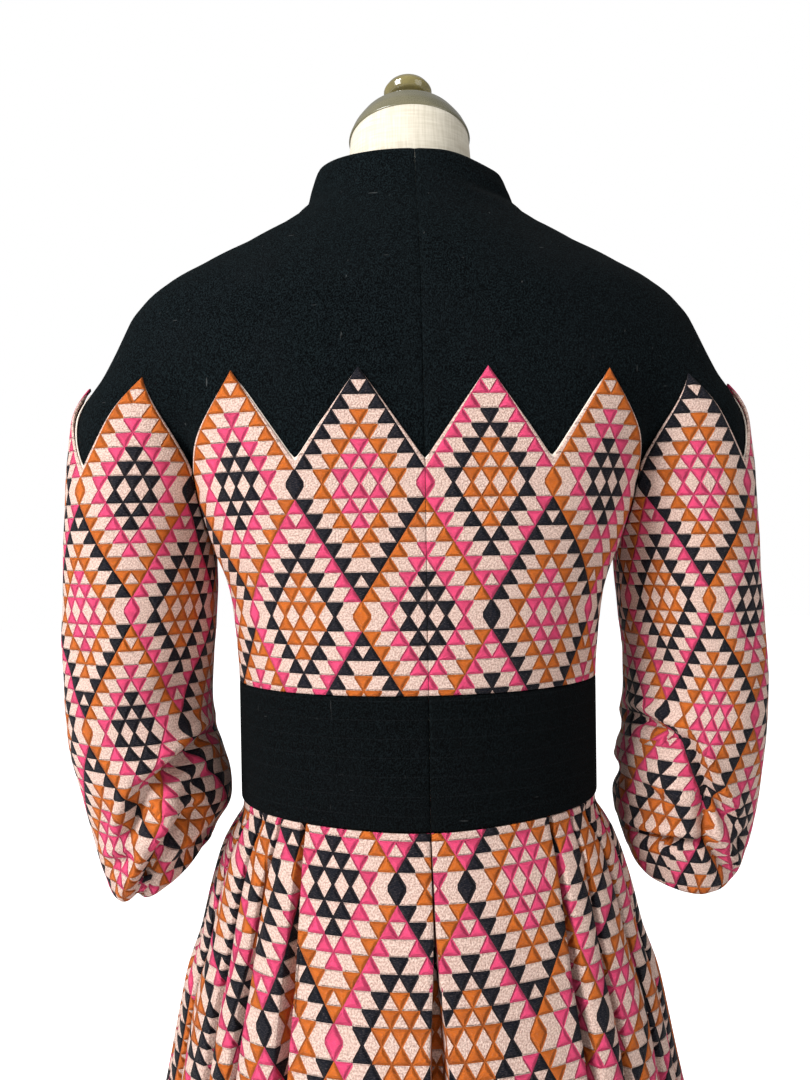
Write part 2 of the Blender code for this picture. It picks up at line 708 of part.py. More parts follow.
def add_form(collection, material):
    """The linen-covered body and neck as one closed solid."""
    angles = np.linspace(0, 2 * math.pi, FORM_SIDES, endpoint=False)
    heights = np.array(FORM_ROWS[::-1])
    rows = []
    for z, ring in zip(heights, trace(form_surface, heights[:, None], 0.0, 0.0, angles)):
        lean = NECK_TILT * np.clip((z - NECK_FOOT) / (NECK_TOP - NECK_FOOT), 0.0, 1.0)
        rows.append([(x, y, z + y * lean) for x, y in ring])
    item = add_grid("dress_form_body", rows, material, collection, closed=True)
    work = bmesh.new()
    work.from_mesh(item.data)
    bmesh.ops.holes_fill(work, edges=[edge for edge in work.edges if edge.is_boundary])
    bmesh.ops.recalc_face_normals(work, faces=work.faces)
    work.to_mesh(item.data)
    work.free()
    return item


def add_turned(name, profile, sides, material, collection):
    """A turned solid from a profile of radius and height, listed top to bottom."""
    mesh = bpy.data.meshes.new(name)
    work = bmesh.new()
    line = [work.verts.new((radius, 0.0, height)) for radius, height in profile]
    for first, second in zip(line, line[1:]):
        work.edges.new((first, second))
    work.to_mesh(mesh)
    work.free()
    item = bpy.data.objects.new(name, mesh)
    item.data.materials.append(material)
    collection.objects.link(item)
    turn = item.modifiers.new("turned", "SCREW")
    turn.steps = sides
    turn.render_steps = sides
    turn.use_merge_vertices = True
    turn.merge_threshold = 0.0001
    turn.use_smooth_shade = True
    return item


def main():
    for item in list(bpy.data.objects):
        bpy.data.objects.remove(item)
    collection = bpy.data.collections.new("wool_coat_on_dress_form")
    bpy.context.scene.collection.children.link(collection)

    crepe = new_material("black_wool_crepe", (0.012, 0.014, 0.016), 0.85)
    patterned = new_material("patterned_cloth", (0.75, 0.30, 0.30), 0.80)
    linen = new_material("linen", (0.78, 0.74, 0.66), 0.75)
    olive = new_material("cap_lacquer", (0.19, 0.17, 0.08), 0.25)
    amber = new_material("knob_lacquer", (0.30, 0.22, 0.08), 0.12)
    steel = new_material("stand_steel", (0.35, 0.35, 0.36), 0.35, 1.0)

    def add_pair(name, rows, material, wall, closed=False):
        add_grid(f"{name}_left", rows, material, collection, wall, closed)
        add_grid(f"{name}_right", rows, material, collection, wall, closed, mirrored=True)

    armhole_angles, armhole_points = armhole()
    back, back_valley = bodice_grid(False, armhole_points)
    front, front_valley = bodice_grid(True, armhole_points)
    angles, sleeve_tops, outer_count = sleeve_outline(armhole_angles, armhole_points)
    sleeve = sleeve_grid(angles, sleeve_tops, outer_count)

    # The yoke lies behind the top rows of bodice and sleeve, with its shoulder seam on the sleeve's
    # outermost line
    outer = sleeve[:2, :outer_count]
    under = cloth_under((back[:2, :back_valley + 1], outer, front[:2, :front_valley + 1][:, ::-1]))
    shoulder = back_valley + int(np.argmin(np.abs(angles[:outer_count])))
    yoke = yoke_grid(under)
    centre = SEAM_GAP / 2
    yoke_back = yoke[:, :shoulder + 1].copy()
    yoke_front = yoke[:, shoulder:].copy()
    yoke_back[:, -1, 1] += SHOULDER_SHIFT
    yoke_front[:, 0, 1] -= SHOULDER_SHIFT

    add_pair("yoke_back", open_seam(yoke_back, 0, centre), crepe, CREPE_WALL)
    add_pair("yoke_front", open_seam(yoke_front, -1, centre), crepe, CREPE_WALL)
    add_pair("bodice_back", open_seam(back, 0, centre), patterned, PATTERNED_WALL)
    add_pair("bodice_front", open_seam(front, 0, centre)[:, ::-1], patterned, PATTERNED_WALL)
    add_pair("sleeve", sleeve, patterned, PATTERNED_WALL, closed=True)
    add_pair("waistband_back", open_seam(band_grid(False), 0, centre), crepe, BAND_WALL)
    add_pair("waistband_front", open_seam(band_grid(True), 0, centre)[:, ::-1], crepe, BAND_WALL)

    skirt = skirt_grid()
    skirt[:, -2, 1] = skirt[:, -1, 1]
    skirt_back = skirt[:, :SIDE_PLEAT_COLUMN + 1].copy()
    skirt_front = open_seam(skirt[:, SIDE_PLEAT_COLUMN:].copy(), -1, centre)
    skirt_back[:, -1, 1] += centre
    skirt_front[:, 0, 1] -= centre
    whole_back = np.concatenate([mirror_rows(skirt_back)[:, :-1], skirt_back], axis=1)
    add_grid("skirt_back", whole_back, patterned, collection, PATTERNED_WALL)
    add_pair("skirt_front", skirt_front, patterned, PATTERNED_WALL)

    add_form(collection, linen)
    cap = add_turned("neck_cap", CAP_PROFILE, 28, olive, collection)
    knob = add_turned("neck_knob", KNOB_PROFILE, 20, amber, collection)
    for item in (cap, knob):
        item.location = (0.0, 0.0, NECK_TOP)
        item.rotation_euler = (math.atan(NECK_TILT), 0.0, 0.0)
    bevel = 4 * MM
    socket_top = BASE_THICKNESS + SOCKET_HEIGHT
    base = (
        (0.0, socket_top),
        (SOCKET_RADIUS - 2 * MM, socket_top),
        (SOCKET_RADIUS, BASE_THICKNESS + 2 * MM),
        (BASE_RADIUS - bevel, BASE_THICKNESS),
        (BASE_RADIUS, BASE_THICKNESS - bevel),
        (BASE_RADIUS, 0.0),
        (0.0, 0.0),
    )
    add_turned("stand_base", base, 32, steel, collection)
    foot, head = socket_top + SEAM_GAP, FORM_BOTTOM - SEAM_GAP
    pole = ((0.0, head), (POLE_RADIUS, head), (POLE_RADIUS, foot), (0.0, foot))
    add_turned("stand_pole", pole, 24, steel, collection)


main()
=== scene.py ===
# %% [markdown]
# # A wool coat on a dress form
#
# This lesson dresses the bare model of a fit-and-flare coat: black wool crepe for the yoke, collar
# and waistband, and a puffed cloth of woven diamonds for the bodice, sleeves and skirt. Each piece is
# a thin shell of cloth laid on the form of its plain solid, and the cloth's own pattern, nap and
# creases are added here. We start with the plain model, which also fixes every place and size.

# %% Load the plain model
import functools
import math

import bmesh
import bpy
import numpy as np
from mathutils import Matrix, Vector


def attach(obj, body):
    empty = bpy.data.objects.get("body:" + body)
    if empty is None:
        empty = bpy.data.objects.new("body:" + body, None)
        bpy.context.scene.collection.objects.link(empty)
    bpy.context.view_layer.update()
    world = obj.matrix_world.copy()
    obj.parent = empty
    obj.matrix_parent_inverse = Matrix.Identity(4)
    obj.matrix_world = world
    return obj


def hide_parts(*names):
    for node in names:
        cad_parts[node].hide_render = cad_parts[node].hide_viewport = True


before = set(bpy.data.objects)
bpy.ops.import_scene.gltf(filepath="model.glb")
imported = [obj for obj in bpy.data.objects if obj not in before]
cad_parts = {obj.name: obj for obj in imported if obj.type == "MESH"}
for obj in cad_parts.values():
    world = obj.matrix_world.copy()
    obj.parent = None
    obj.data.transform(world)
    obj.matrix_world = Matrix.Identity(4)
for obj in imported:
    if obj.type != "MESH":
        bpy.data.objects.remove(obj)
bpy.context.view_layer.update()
MM = 0.001

# %% [markdown]
# ## The camera
#
# The coat is seen from behind, from a little under a metre away, at the height of the chest. The
# camera stands slightly to the left, which moves the centre-back seam a little to the right, and it
# is tilted by about a degree. A lens of 34 mm gives the wide view of a phone held close. We never turn
# the coat itself: turning the camera gives the same picture and leaves the coat true to its axes.

# %% Camera
EYE_HEIGHT = 1.16
EYE_DISTANCE = 0.85
STANDS_LEFT = math.radians(3.6)
LOOKS_LEFT = math.radians(0.60)
LOOKS_DOWN = math.radians(0.40)
TILTED = math.radians(-0.9)

camera = bpy.data.objects.new("camera", bpy.data.cameras.new("camera"))
camera.data.lens = 34.0
camera.data.sensor_width = 36.0
camera.data.clip_start = 0.02
camera.location = (EYE_DISTANCE * math.sin(STANDS_LEFT), EYE_DISTANCE * math.cos(STANDS_LEFT), EYE_HEIGHT)
facing = Matrix.Rotation(math.pi - STANDS_LEFT + LOOKS_LEFT, 3, "Z")
facing = facing @ Matrix.Rotation(math.pi / 2 - LOOKS_DOWN, 3, "X") @ Matrix.Rotation(TILTED, 3, "Z")
camera.rotation_euler = facing.to_euler()
bpy.context.scene.collection.objects.link(camera)
bpy.context.scene.camera = camera
print("camera at", [round(value, 3) for value in camera.location])

# %% [markdown]
# ## Floor and light
#
# A cut-out photo has no room around it, so the studio is as plain as can be: a pale floor, a white
# surround that lights every fold softly, and two large lamps behind the camera that model the cloth.
# Soft light comes from large lamps; a small one would print hard shadows of each fold. The surround
# is seen pure white, but it sends only part of that light to the cloth, as a far paper screen does.

# %% Floor and light
FLOOR_REACH = 12.0
FLOOR_LIGHT = 0.15
SURROUND_LIGHT = 0.31
LAMPS_AIM = Vector((0, 0, 1.1))
WHITE = (1.0, 1.0, 1.0, 1.0)


def seen_white(tree, light, socket):
    """Feed a strength that the camera sees as 1, and that lights the coat with less."""
    looked_at = tree.nodes.new("ShaderNodeLightPath")
    brightness = tree.nodes.new("ShaderNodeMath")
    brightness.operation = "MAXIMUM"
    brightness.inputs[1].default_value = light
    tree.links.new(looked_at.outputs["Is Camera Ray"], brightness.inputs[0])
    tree.links.new(brightness.outputs[0], socket)


paint = bpy.data.materials.new("studio_floor_paint")
paint.use_nodes = True
paint_sockets = paint.node_tree.nodes["Principled BSDF"].inputs
paint_sockets["Base Color"].default_value = (0.95, 0.95, 0.95, 1.0)
paint_sockets["Roughness"].default_value = 0.9
paint_sockets["Emission Color"].default_value = WHITE
seen_white(paint.node_tree, FLOOR_LIGHT, paint_sockets["Emission Strength"])
square = bpy.data.meshes.new("studio_floor")
square.from_pydata([(FLOOR_REACH * x, FLOOR_REACH * y, 0) for x, y in ((-1, -1), (1, -1), (1, 1), (-1, 1))],
                   [], [(0, 1, 2, 3)])
square.materials.append(paint)
floor = bpy.data.objects.new("studio_floor", square)
bpy.context.scene.collection.objects.link(floor)

surround = bpy.data.worlds.new("white_surround")
surround.use_nodes = True
background = surround.node_tree.nodes["Background"]
background.inputs["Color"].default_value = WHITE
seen_white(surround.node_tree, SURROUND_LIGHT, background.inputs["Strength"])
bpy.context.scene.world = surround
bpy.context.scene.view_settings.view_transform = "Standard"

LAMPS = (("window_left", (1.9, 1.6, 2.5), 1.1, 108), ("window_right", (-1.9, 1.7, 1.9), 1.4, 12))
for name, place, size, power in LAMPS:
    lamp = bpy.data.lights.new(name, "AREA")
    lamp.size, lamp.energy = size, power
    holder = bpy.data.objects.new(name, lamp)
    holder.location = place
    holder.rotation_euler = (LAMPS_AIM - Vector(place)).to_track_quat("-Z", "Y").to_euler()
    bpy.context.scene.collection.objects.link(holder)
print("lamps and a white surround of strength", SURROUND_LIGHT)

# %% [markdown]
# ## The coat's level sections
#
# A dressmaker knows a body by its girths at a few heights. The tables below hold such sections, and
# `at` reads any height in between along a smooth curve that never overshoots. The torso's section is
# a rounded rectangle, the arm's an ellipse, and the yoke covers both where they melt together. These
# are the same numbers as in the plain model, so that the cloth lies where its solid is.

# %% Tables of sections
def table(columns, *rows):
    """A short table of sections, as one array for each named column."""
    return {name: np.array(values) for name, values in zip(columns.split(), zip(*rows))}


def joined(first, last, slope_first, slope_last, span, t):
    """The smooth curve from one value to the next that has a given slope at both ends."""
    return (first * (1 + 2 * t) * (1 - t) ** 2 + slope_first * span * t * (1 - t) ** 2
            + last * t * t * (3 - 2 * t) + slope_last * span * t * t * (t - 1))


def smooth(places, values, spots):
    """A smooth curve through values at rising places that never overshoots them."""
    secant = np.diff(values) / np.diff(places)
    slope = np.concatenate([secant[:1], np.zeros(len(values) - 2), secant[-1:]])
    rising = secant[:-1] * secant[1:]
    total = secant[:-1] + secant[1:]
    slope[1:-1] = np.where(rising > 0, 2 * rising / np.where(rising > 0, total, 1), 0)
    spots = np.clip(spots, places[0], places[-1])
    i = np.clip(np.searchsorted(places, spots, side="right") - 1, 0, len(places) - 2)
    span = places[i + 1] - places[i]
    return joined(values[i], values[i + 1], slope[i], slope[i + 1], span, (spots - places[i]) / span)


def at(rows, name, z):
    """A column of a table at any height."""
    return smooth(rows["z"], rows[name], z)


def ramp(value, start, over):
    """0 before a start, 1 from there plus a distance, and even in between. A distance below 0 goes down."""
    return np.clip((value - start) / over, 0, 1)


def eased(share):
    """A share from 0 to 1, with an easy start and end."""
    return share * share * (3 - 2 * share)


def bell(offset):
    """1 where the offset is 0, fading softly to nothing on both sides."""
    return np.exp(-offset * offset)


def run_of(points):
    """Length along a line of points, from its first one."""
    steps = np.diff(points, axis=0)
    return np.concatenate([[0.0], np.cumsum(np.sqrt((steps * steps).sum(axis=1)))])


def read_line(spots, marks, line):
    """Points of a flat line where its marks reach given numbers."""
    return np.stack([np.interp(spots, marks, line[:, k]) for k in (0, 1)], axis=1)


TORSO = table(
    "z      half_width  back    front   square",
    (0.930,  0.1470,    0.1170, 0.1090, 2.00),
    (1.043,  0.1470,    0.1185, 0.1090, 2.05),
    (1.080,  0.1490,    0.1180, 0.1110, 2.20),
    (1.110,  0.1520,    0.1175, 0.1150, 2.40),
    (1.130,  0.1570,    0.1175, 0.1180, 2.55),
    (1.150,  0.1650,    0.1175, 0.1200, 2.70),
    (1.180,  0.1720,    0.1180, 0.1215, 2.90),
    (1.2125, 0.1770,    0.1190, 0.1220, 3.00),
    (1.250,  0.1960,    0.1185, 0.1205, 2.90),
    (1.291,  0.2190,    0.1160, 0.1180, 2.60),
    (1.324,  0.2260,    0.1130, 0.1150, 2.40),
    (1.341,  0.2230,    0.1105, 0.1130, 2.30),
    (1.3575, 0.2125,    0.1080, 0.1100, 2.20),
    (1.374,  0.1945,    0.1035, 0.1050, 2.10),
    (1.391,  0.1640,    0.0970, 0.0980, 2.00),
    (1.4075, 0.1300,    0.0885, 0.0900, 2.00),
    (1.424,  0.1010,    0.0785, 0.0830, 2.00),
    (1.431,  0.0920,    0.0740, 0.0805, 2.00),
    (1.441,  0.0865,    0.0690, 0.0775, 2.00),
    (1.457,  0.0770,    0.0620, 0.0720, 2.00),
)
ARM = table(
    "z      outer   inner   depth   middle",
    (1.080,  0.2900, 0.1705, 0.0740, -0.006),
    (1.110,  0.2890, 0.1685, 0.0720, -0.005),
    (1.150,  0.2880, 0.1690, 0.0705, -0.004),
    (1.180,  0.2860, 0.1640, 0.0710, -0.003),
    (1.2125, 0.2840, 0.1580, 0.0715, -0.002),
    (1.250,  0.2780, 0.1500, 0.0705, -0.001),
    (1.274,  0.2680, 0.1420, 0.0695, 0.0),
    (1.291,  0.2575, 0.1350, 0.0680, 0.0),
    (1.3075, 0.2475, 0.1250, 0.0665, 0.0),
    (1.324,  0.2355, 0.1150, 0.0640, 0.0),
    (1.341,  0.2220, 0.1050, 0.0600, 0.0),
    (1.3575, 0.2030, 0.0950, 0.0540, 0.0),
    (1.374,  0.1750, 0.0800, 0.0450, 0.0),
    (1.391,  0.1420, 0.0660, 0.0360, 0.0),
    (1.4075, 0.1050, 0.0520, 0.0280, 0.0),
    (1.424,  0.0720, 0.0420, 0.0200, 0.0),
    (1.441,  0.0500, 0.0340, 0.0140, 0.0),
    (1.457,  0.0420, 0.0300, 0.0120, 0.0),
)
# How widely the torso and the arm melt into each other: not at all at the armhole, softly above it
MELT = table(
    "z       width",
    (1.2165, 0.0001),
    (1.2700, 0.0300),
    (1.4000, 0.0300),
)
# The sleeve's rings below the armpit, down to the turned-under hem
SLEEVE_RINGS = table(
    "z      outer   inner   depth   middle  drop_behind  rise_before",
    (1.090, 0.2930, 0.1670, 0.0765, -0.006, 0.000, 0.000),
    (1.055, 0.2940, 0.1695, 0.0790, -0.007, 0.000, 0.000),
    (1.020, 0.2925, 0.1715, 0.0805, -0.008, 0.000, 0.000),
    (0.988, 0.2905, 0.1660, 0.0815, -0.009, 0.001, 0.000),
    (0.958, 0.2855, 0.1610, 0.0805, -0.010, 0.005, 0.001),
    (0.930, 0.2805, 0.1625, 0.0780, -0.012, 0.014, 0.002),
    (0.904, 0.2745, 0.1730, 0.0690, -0.013, 0.028, 0.005),
    (0.893, 0.2695, 0.1800, 0.0600, -0.014, 0.036, 0.007),
    (0.896, 0.2655, 0.1840, 0.0550, -0.014, 0.034, 0.007),
    (0.908, 0.2635, 0.1860, 0.0520, -0.014, 0.030, 0.006),
)
SKIRT = table(
    "z       half_width  back    front",
    (0.4300, 0.2800,     0.2680, 0.2680),
    (0.5000, 0.2640,     0.2510, 0.2490),
    (0.6000, 0.2400,     0.2240, 0.2200),
    (0.7075, 0.2140,     0.1940, 0.1880),
    (0.7740, 0.2000,     0.1770, 0.1700),
    (0.8075, 0.1930,     0.1680, 0.1610),
    (0.8410, 0.1820,     0.1570, 0.1500),
    (0.8740, 0.1730,     0.1470, 0.1390),
    (0.9240, 0.1560,     0.1280, 0.1190),
    (0.9380, 0.1500,     0.1215, 0.1125),
    (0.9470, 0.1500,     0.1215, 0.1125),
)
PLEAT = table(
    "z      gap     depth   crown",
    (0.430,  0.0250, 0.0300, 0.0050),
    (0.645,  0.0160, 0.0230, 0.0040),
    (0.805,  0.0090, 0.0160, 0.0030),
    (0.900,  0.0060, 0.0100, 0.0015),
    (0.938,  0.0040, 0.0055, 0.0),
    (0.947,  0.0040, 0.0055, 0.0),
)
FORM = table(
    "z       half_width  back    front   square",
    (0.780,  0.1400,     0.1150, 0.1050, 2.3),
    (0.790,  0.1480,     0.1230, 0.1130, 2.3),
    (0.830,  0.1490,     0.1240, 0.1150, 2.3),
    (0.880,  0.1400,     0.1150, 0.1060, 2.2),
    (0.940,  0.1300,     0.1020, 0.0940, 2.1),
    (0.995,  0.1270,     0.1000, 0.0910, 2.1),
    (1.043,  0.1310,     0.1030, 0.0940, 2.1),
    (1.100,  0.1410,     0.1070, 0.1040, 2.2),
    (1.160,  0.1530,     0.1080, 0.1090, 2.3),
    (1.220,  0.1640,     0.1095, 0.1100, 2.3),
    (1.290,  0.1720,     0.1080, 0.1080, 2.3),
    (1.340,  0.1740,     0.1060, 0.1060, 2.3),
    (1.385,  0.1720,     0.1040, 0.1040, 2.3),
    (1.412,  0.1300,     0.0900, 0.0950, 2.1),
    (1.4235, 0.0930,     0.0720, 0.0760, 2.0),
    (1.431,  0.0740,     0.0610, 0.0640, 2.0),
    (1.441,  0.0600,     0.0540, 0.0560, 2.0),
    (1.455,  0.0520,     0.0500, 0.0510, 2.0),
    (1.4825, 0.0490,     0.0490, 0.0490, 2.0),
)
print("tables of", len(TORSO["z"]), "torso and", len(ARM["z"]), "arm sections")

# %% [markdown]
# ## Finding the cloth's place
#
# A coat on a form settles: the wool of the shoulders sinks by about 14 mm, the waist is drawn in and the
# sleeves hang a little closer than the plain model says. Three short curves say how much.
#
# The two bodies are written as level functions: below nought inside, above nought outside. A ray from
# the inside then finds the skin by halving, all rays at once. We trace each family of sections once,
# every 4 mm of height, lay the points out at even lengths along the section, and from then on any
# place on the cloth is read from those arrays. A length round the body is just what a cutter
# measures, and the woven pattern needs it too.

# %% Level sections of torso, arm and yoke
PATTERNED_WALL = 2.5 * MM
CREPE_WALL = 2.0 * MM
BAND_WALL = 3.0 * MM
SEAM_GAP = 0.3 * MM
PANEL_RISE = 3.6 * MM
COLLAR_TOP = 1.457
LEVEL_STEP = 0.004
LEVELS = np.arange(0.930, COLLAR_TOP + LEVEL_STEP, LEVEL_STEP)[:, None]


SETTLED = table(
    "z       sunk    torso_fit  taken_in",
    (0.900,  0.0,    0.974,     0.0045),
    (1.150,  0.0,    0.974,     0.0045),
    (1.2125, 0.0,    1.000,     0.0045),
    (1.250,  0.001,  1.000,     0.0045),
    (1.290,  0.009,  1.000,     0.0020),
    (1.320,  0.014,  1.000,     0.0),
    (1.425,  0.014,  1.000,     0.0),
    (1.440,  0.009,  1.000,     0.0),
    (1.457,  0.0,    1.000,     0.0),
)


def settle(rows):
    """A table of the plain model, read every 3 mm, as the cloth lies now."""
    z = np.arange(rows["z"][0], rows["z"][-1], 3 * MM)
    now = {name: at(rows, name, z + at(SETTLED, "sunk", z)) for name in rows}
    now["z"] = z
    return now


TORSO = settle(TORSO)
TORSO["half_width"] *= at(SETTLED, "torso_fit", TORSO["z"])
ARM = settle(ARM)
ARM["outer"] -= at(SETTLED, "taken_in", ARM["z"])


def distance_from(level):
    """The distance from a surface that is given as a level function, found by its own steepness."""
    step = 1e-4

    def distance(x, y, z):
        dx = level(x + step, y, z) - level(x - step, y, z)
        dy = level(x, y + step, z) - level(x, y - step, z)
        dz = level(x, y, z + step) - level(x, y, z - step)
        steepness = np.sqrt(dx * dx + dy * dy + dz * dz) / (2 * step)
        return level(x, y, z) / np.maximum(steepness, 1.0)

    return distance


def rounded(rows, x, y, z):
    """A rounded rectangle from a table: below nought inside it."""
    depth = np.where(y > 0, at(rows, "back", z), at(rows, "front", z))
    power = at(rows, "square", z)
    across = np.abs(x) / at(rows, "half_width", z)
    return (across ** power + (np.abs(y) / depth) ** power) ** (1 / power) - 1


def arm_level(x, y, z):
    outer, inner = at(ARM, "outer", z), at(ARM, "inner", z)
    across = (x - (outer + inner) / 2) / ((outer - inner) / 2)
    return np.hypot(across, (y - at(ARM, "middle", z)) / at(ARM, "depth", z)) - 1


torso = distance_from(functools.partial(rounded, TORSO))
arm = distance_from(arm_level)


def torso_and_arm(x, y, z):
    """The two surfaces melted into one, as the yoke covers them."""
    body, limb = torso(x, y, z), arm(x, y, z)
    width = at(MELT, "width", z)
    near = np.maximum(width - np.abs(body - limb), 0) / width
    return np.minimum(body, limb) - near * near * width / 4


def trace(surface, z, rise, start_x, angles, looks=2):
    """Where rays from points inside last leave a surface that is raised by some distance."""
    z, start_x, angles = np.broadcast_arrays(z, start_x, angles)
    ray_x, ray_y = np.cos(angles), np.sin(angles)
    longest = 0.40
    near = np.zeros(z.shape)
    for reach in np.linspace(0.0, longest, looks)[:-1]:
        inside = surface(start_x + reach * ray_x, reach * ray_y, z) < rise
        near = np.where(inside, reach, near)
    far = near + longest / (looks - 1)
    for _ in range(18):
        middle = (near + far) / 2
        inside = surface(start_x + middle * ray_x, middle * ray_y, z) < rise
        near = np.where(inside, middle, near)
        far = np.where(inside, far, middle)
    return np.stack([start_x + near * ray_x, near * ray_y], axis=-1)


def read_between(sheet, row, column):
    """Points of a traced sheet at places between its rows and columns."""
    row = np.clip(row, 0, sheet.shape[0] - 1.000001)
    column = np.clip(column, 0, sheet.shape[1] - 1.000001)
    r, c = row.astype(int), column.astype(int)
    down, over = (row - r)[..., None], (column - c)[..., None]
    upper = sheet[r, c] * (1 - over) + sheet[r, c + 1] * over
    lower = sheet[r + 1, c] * (1 - over) + sheet[r + 1, c + 1] * over
    return upper * (1 - down) + lower * down


def level_number(z):
    return (z - LEVELS[0, 0]) / LEVEL_STEP


TORSO_SPOTS = 600
torso_lines = trace(torso, LEVELS, PANEL_RISE, 0.0, np.linspace(math.pi / 2, -math.pi / 2, 361))
torso_lengths = np.array([run_of(line)[-1] for line in torso_lines])
torso_sheet = np.array([read_line(np.linspace(0, length, TORSO_SPOTS), run_of(line), line)
                        for line, length in zip(torso_lines, torso_lengths)])
ARM_SPOTS = 361
arm_centres = (at(ARM, "outer", LEVELS) + at(ARM, "inner", LEVELS)) / 2
arm_sheet = trace(arm, LEVELS, PANEL_RISE, arm_centres, np.linspace(0, 2 * math.pi, ARM_SPOTS))


def with_height(points, z):
    return np.concatenate([points, np.asarray(z)[..., None]], axis=-1)


def on_torso(z, distance, front=False):
    """Points of the bodice's outer face at lengths from centre back, or from centre front."""
    z, distance = np.broadcast_arrays(z, distance)
    length = np.interp(z, LEVELS[:, 0], torso_lengths)
    share = 1 - distance / length if front else distance / length
    return with_height(read_between(torso_sheet, level_number(z), share * (TORSO_SPOTS - 1)), z)


POINTS_LEAN, LEAN_FROM, LEAN_OVER = 0.19, 1.215, 0.060


def on_arm(z, angle):
    """Points of the sleeve's outer face: angle 0 is outermost, a quarter turn is behind."""
    z, angle = np.broadcast_arrays(z, angle)
    # The zigzag's points lean outwards as they rise, so they stand nearly upright
    angle = angle - POINTS_LEAN * np.clip((z - LEAN_FROM) / LEAN_OVER, 0, 1.1) * np.sin(angle)
    spot = (angle % (2 * math.pi)) / (2 * math.pi) * (ARM_SPOTS - 1)
    return with_height(read_between(arm_sheet, level_number(z), spot), z)


print("torso girth at the band, m", round(float(np.interp(1.0, LEVELS[:, 0], torso_lengths)) * 2, 3))

# %% [markdown]
# The yoke's section is not one rounded shape: near the armhole it has a waist where the torso meets
# the arm. Its rays start part way to the shoulder and look for the last place where they leave the
# cloth. We then number each point by how far round it lies: 0 at centre back, 1 at the outermost
# line, where the shoulder seam is, and 2 at centre front.

# %% The yoke's sections
YOKE_LOW = 1.2005
YOKE_STEP = 0.003
YOKE_LEVELS = np.arange(1.192, COLLAR_TOP + YOKE_STEP, YOKE_STEP)[:, None]
YOKE_SPOTS = 601


def yoke_rings():
    """The yoke's sections, each with its points at even places from centre back to centre front."""
    arm_width = np.where(YOKE_LEVELS < 1.356, at(ARM, "outer", YOKE_LEVELS), 0)
    start = 0.42 * np.maximum(at(TORSO, "half_width", YOKE_LEVELS), arm_width)
    back_angle = math.pi / 2 + np.arctan2(start, at(TORSO, "back", YOKE_LEVELS))
    front_angle = math.pi / 2 + np.arctan2(start, at(TORSO, "front", YOKE_LEVELS))
    angles = 1.04 * (back_angle - (back_angle + front_angle) * np.linspace(0, 1, 401))
    rings = []
    for z, ring in zip(YOKE_LEVELS[:, 0], trace(torso_and_arm, YOKE_LEVELS, 0.0, start, angles, looks=41)):
        ring = ring[ring[:, 0] > 0]
        ring = np.vstack([[0.0, ring[0, 1]], ring, [0.0, ring[-1, 1]]])
        run = run_of(ring)
        middle = at(ARM, "middle", z)
        near_side = ring[:-1, 0] > 0.8 * ring[:, 0].max()
        last_behind = int(np.nonzero(near_side & (ring[:-1, 1] > middle))[0][-1])
        step = slice(last_behind, last_behind + 2)
        outermost = np.interp(-middle, -ring[step, 1], run[step])
        way = np.where(run < outermost, run / outermost, 1 + (run - outermost) / (run[-1] - outermost))
        rings.append(read_line(np.linspace(0, 2, YOKE_SPOTS), way, ring))
    return np.array(rings)


yoke_sheet = yoke_rings()


def on_yoke(z, way):
    """Points of the yoke's outer face, by height and by how far round they lie."""
    z, way = np.broadcast_arrays(z, way)
    level = (z - YOKE_LEVELS[0, 0]) / YOKE_STEP
    return with_height(read_between(yoke_sheet, level, way / 2 * (YOKE_SPOTS - 1)), z)


print("yoke sections", yoke_sheet.shape[:2])

# %% [markdown]
# ## Laying cloth as a shell
#
# Every cut piece is a grid of points: rows run down the cloth and columns run round it. One helper
# turns a grid into a mesh, gives it the chart of the woven pattern as a UV map, and lets a Solidify
# modifier add the wall on the inside. Creases are pressed in before that, each as a soft trough along
# a short line: deep in its middle and fading towards both ends, because a real fold never stops dead.

# %% Cloth helpers
def outward(rows, closed=False):
    """The direction away from the cloth's face at every point of a grid."""
    if closed:
        around = np.roll(rows, -1, axis=1) - np.roll(rows, 1, axis=1)
    else:
        around = np.gradient(rows, axis=1)
    down = np.gradient(rows, axis=0)
    normal = np.cross(around, down)
    return normal / np.maximum(np.linalg.norm(normal, axis=2), 1e-12)[:, :, None]


def pressed(rows, depth, closed=False):
    """The grid with every point moved in by a depth of its own."""
    return rows - outward(rows, closed) * depth[..., None]


def seam_dip(from_seam, depth, width):
    """How far the cloth dips beside a seam, by the distance from it; depth and width in mm."""
    return depth * MM * bell(from_seam / (width * MM))


def beside(place, across0, up0, across1, up1):
    """Where points lie beside a line: share of the way along, metres below, its length and its down."""
    line = np.array([across1 - across0, up1 - up0])
    length = np.linalg.norm(line)
    under = np.array([line[1], -line[0]]) / length
    offset = place - (across0, up0)
    return offset @ line / length ** 2, offset @ under, length, under


def press_creases(rows, creases, place, strength=1.0, closed=False):
    """Press soft troughs, or raise ridges where the depth is below nought, along short lines.

    place holds each point's two coordinates in the plane where the lines are drawn, in metres.
    """
    depth = np.zeros(rows.shape[:2])
    for *ends, width, deep in creases:
        share, below, length, _ = beside(place, *ends)
        width, on_line = width * MM, np.clip(share, 0, 1)
        fade = 0.35 + 0.65 * np.sin(math.pi * on_line) ** 0.8
        depth += deep * MM * fade * bell(np.hypot(below, (share - on_line) * length) / width)
        # The cloth above the line bulges over it
        along = bell(np.clip(np.abs(share - 0.5) - 0.4, 0, None) * length / width)
        depth -= 0.5 * max(deep, 0) * MM * along * fade * bell(-below / width - 1.5)
    return pressed(rows, depth * strength, closed)


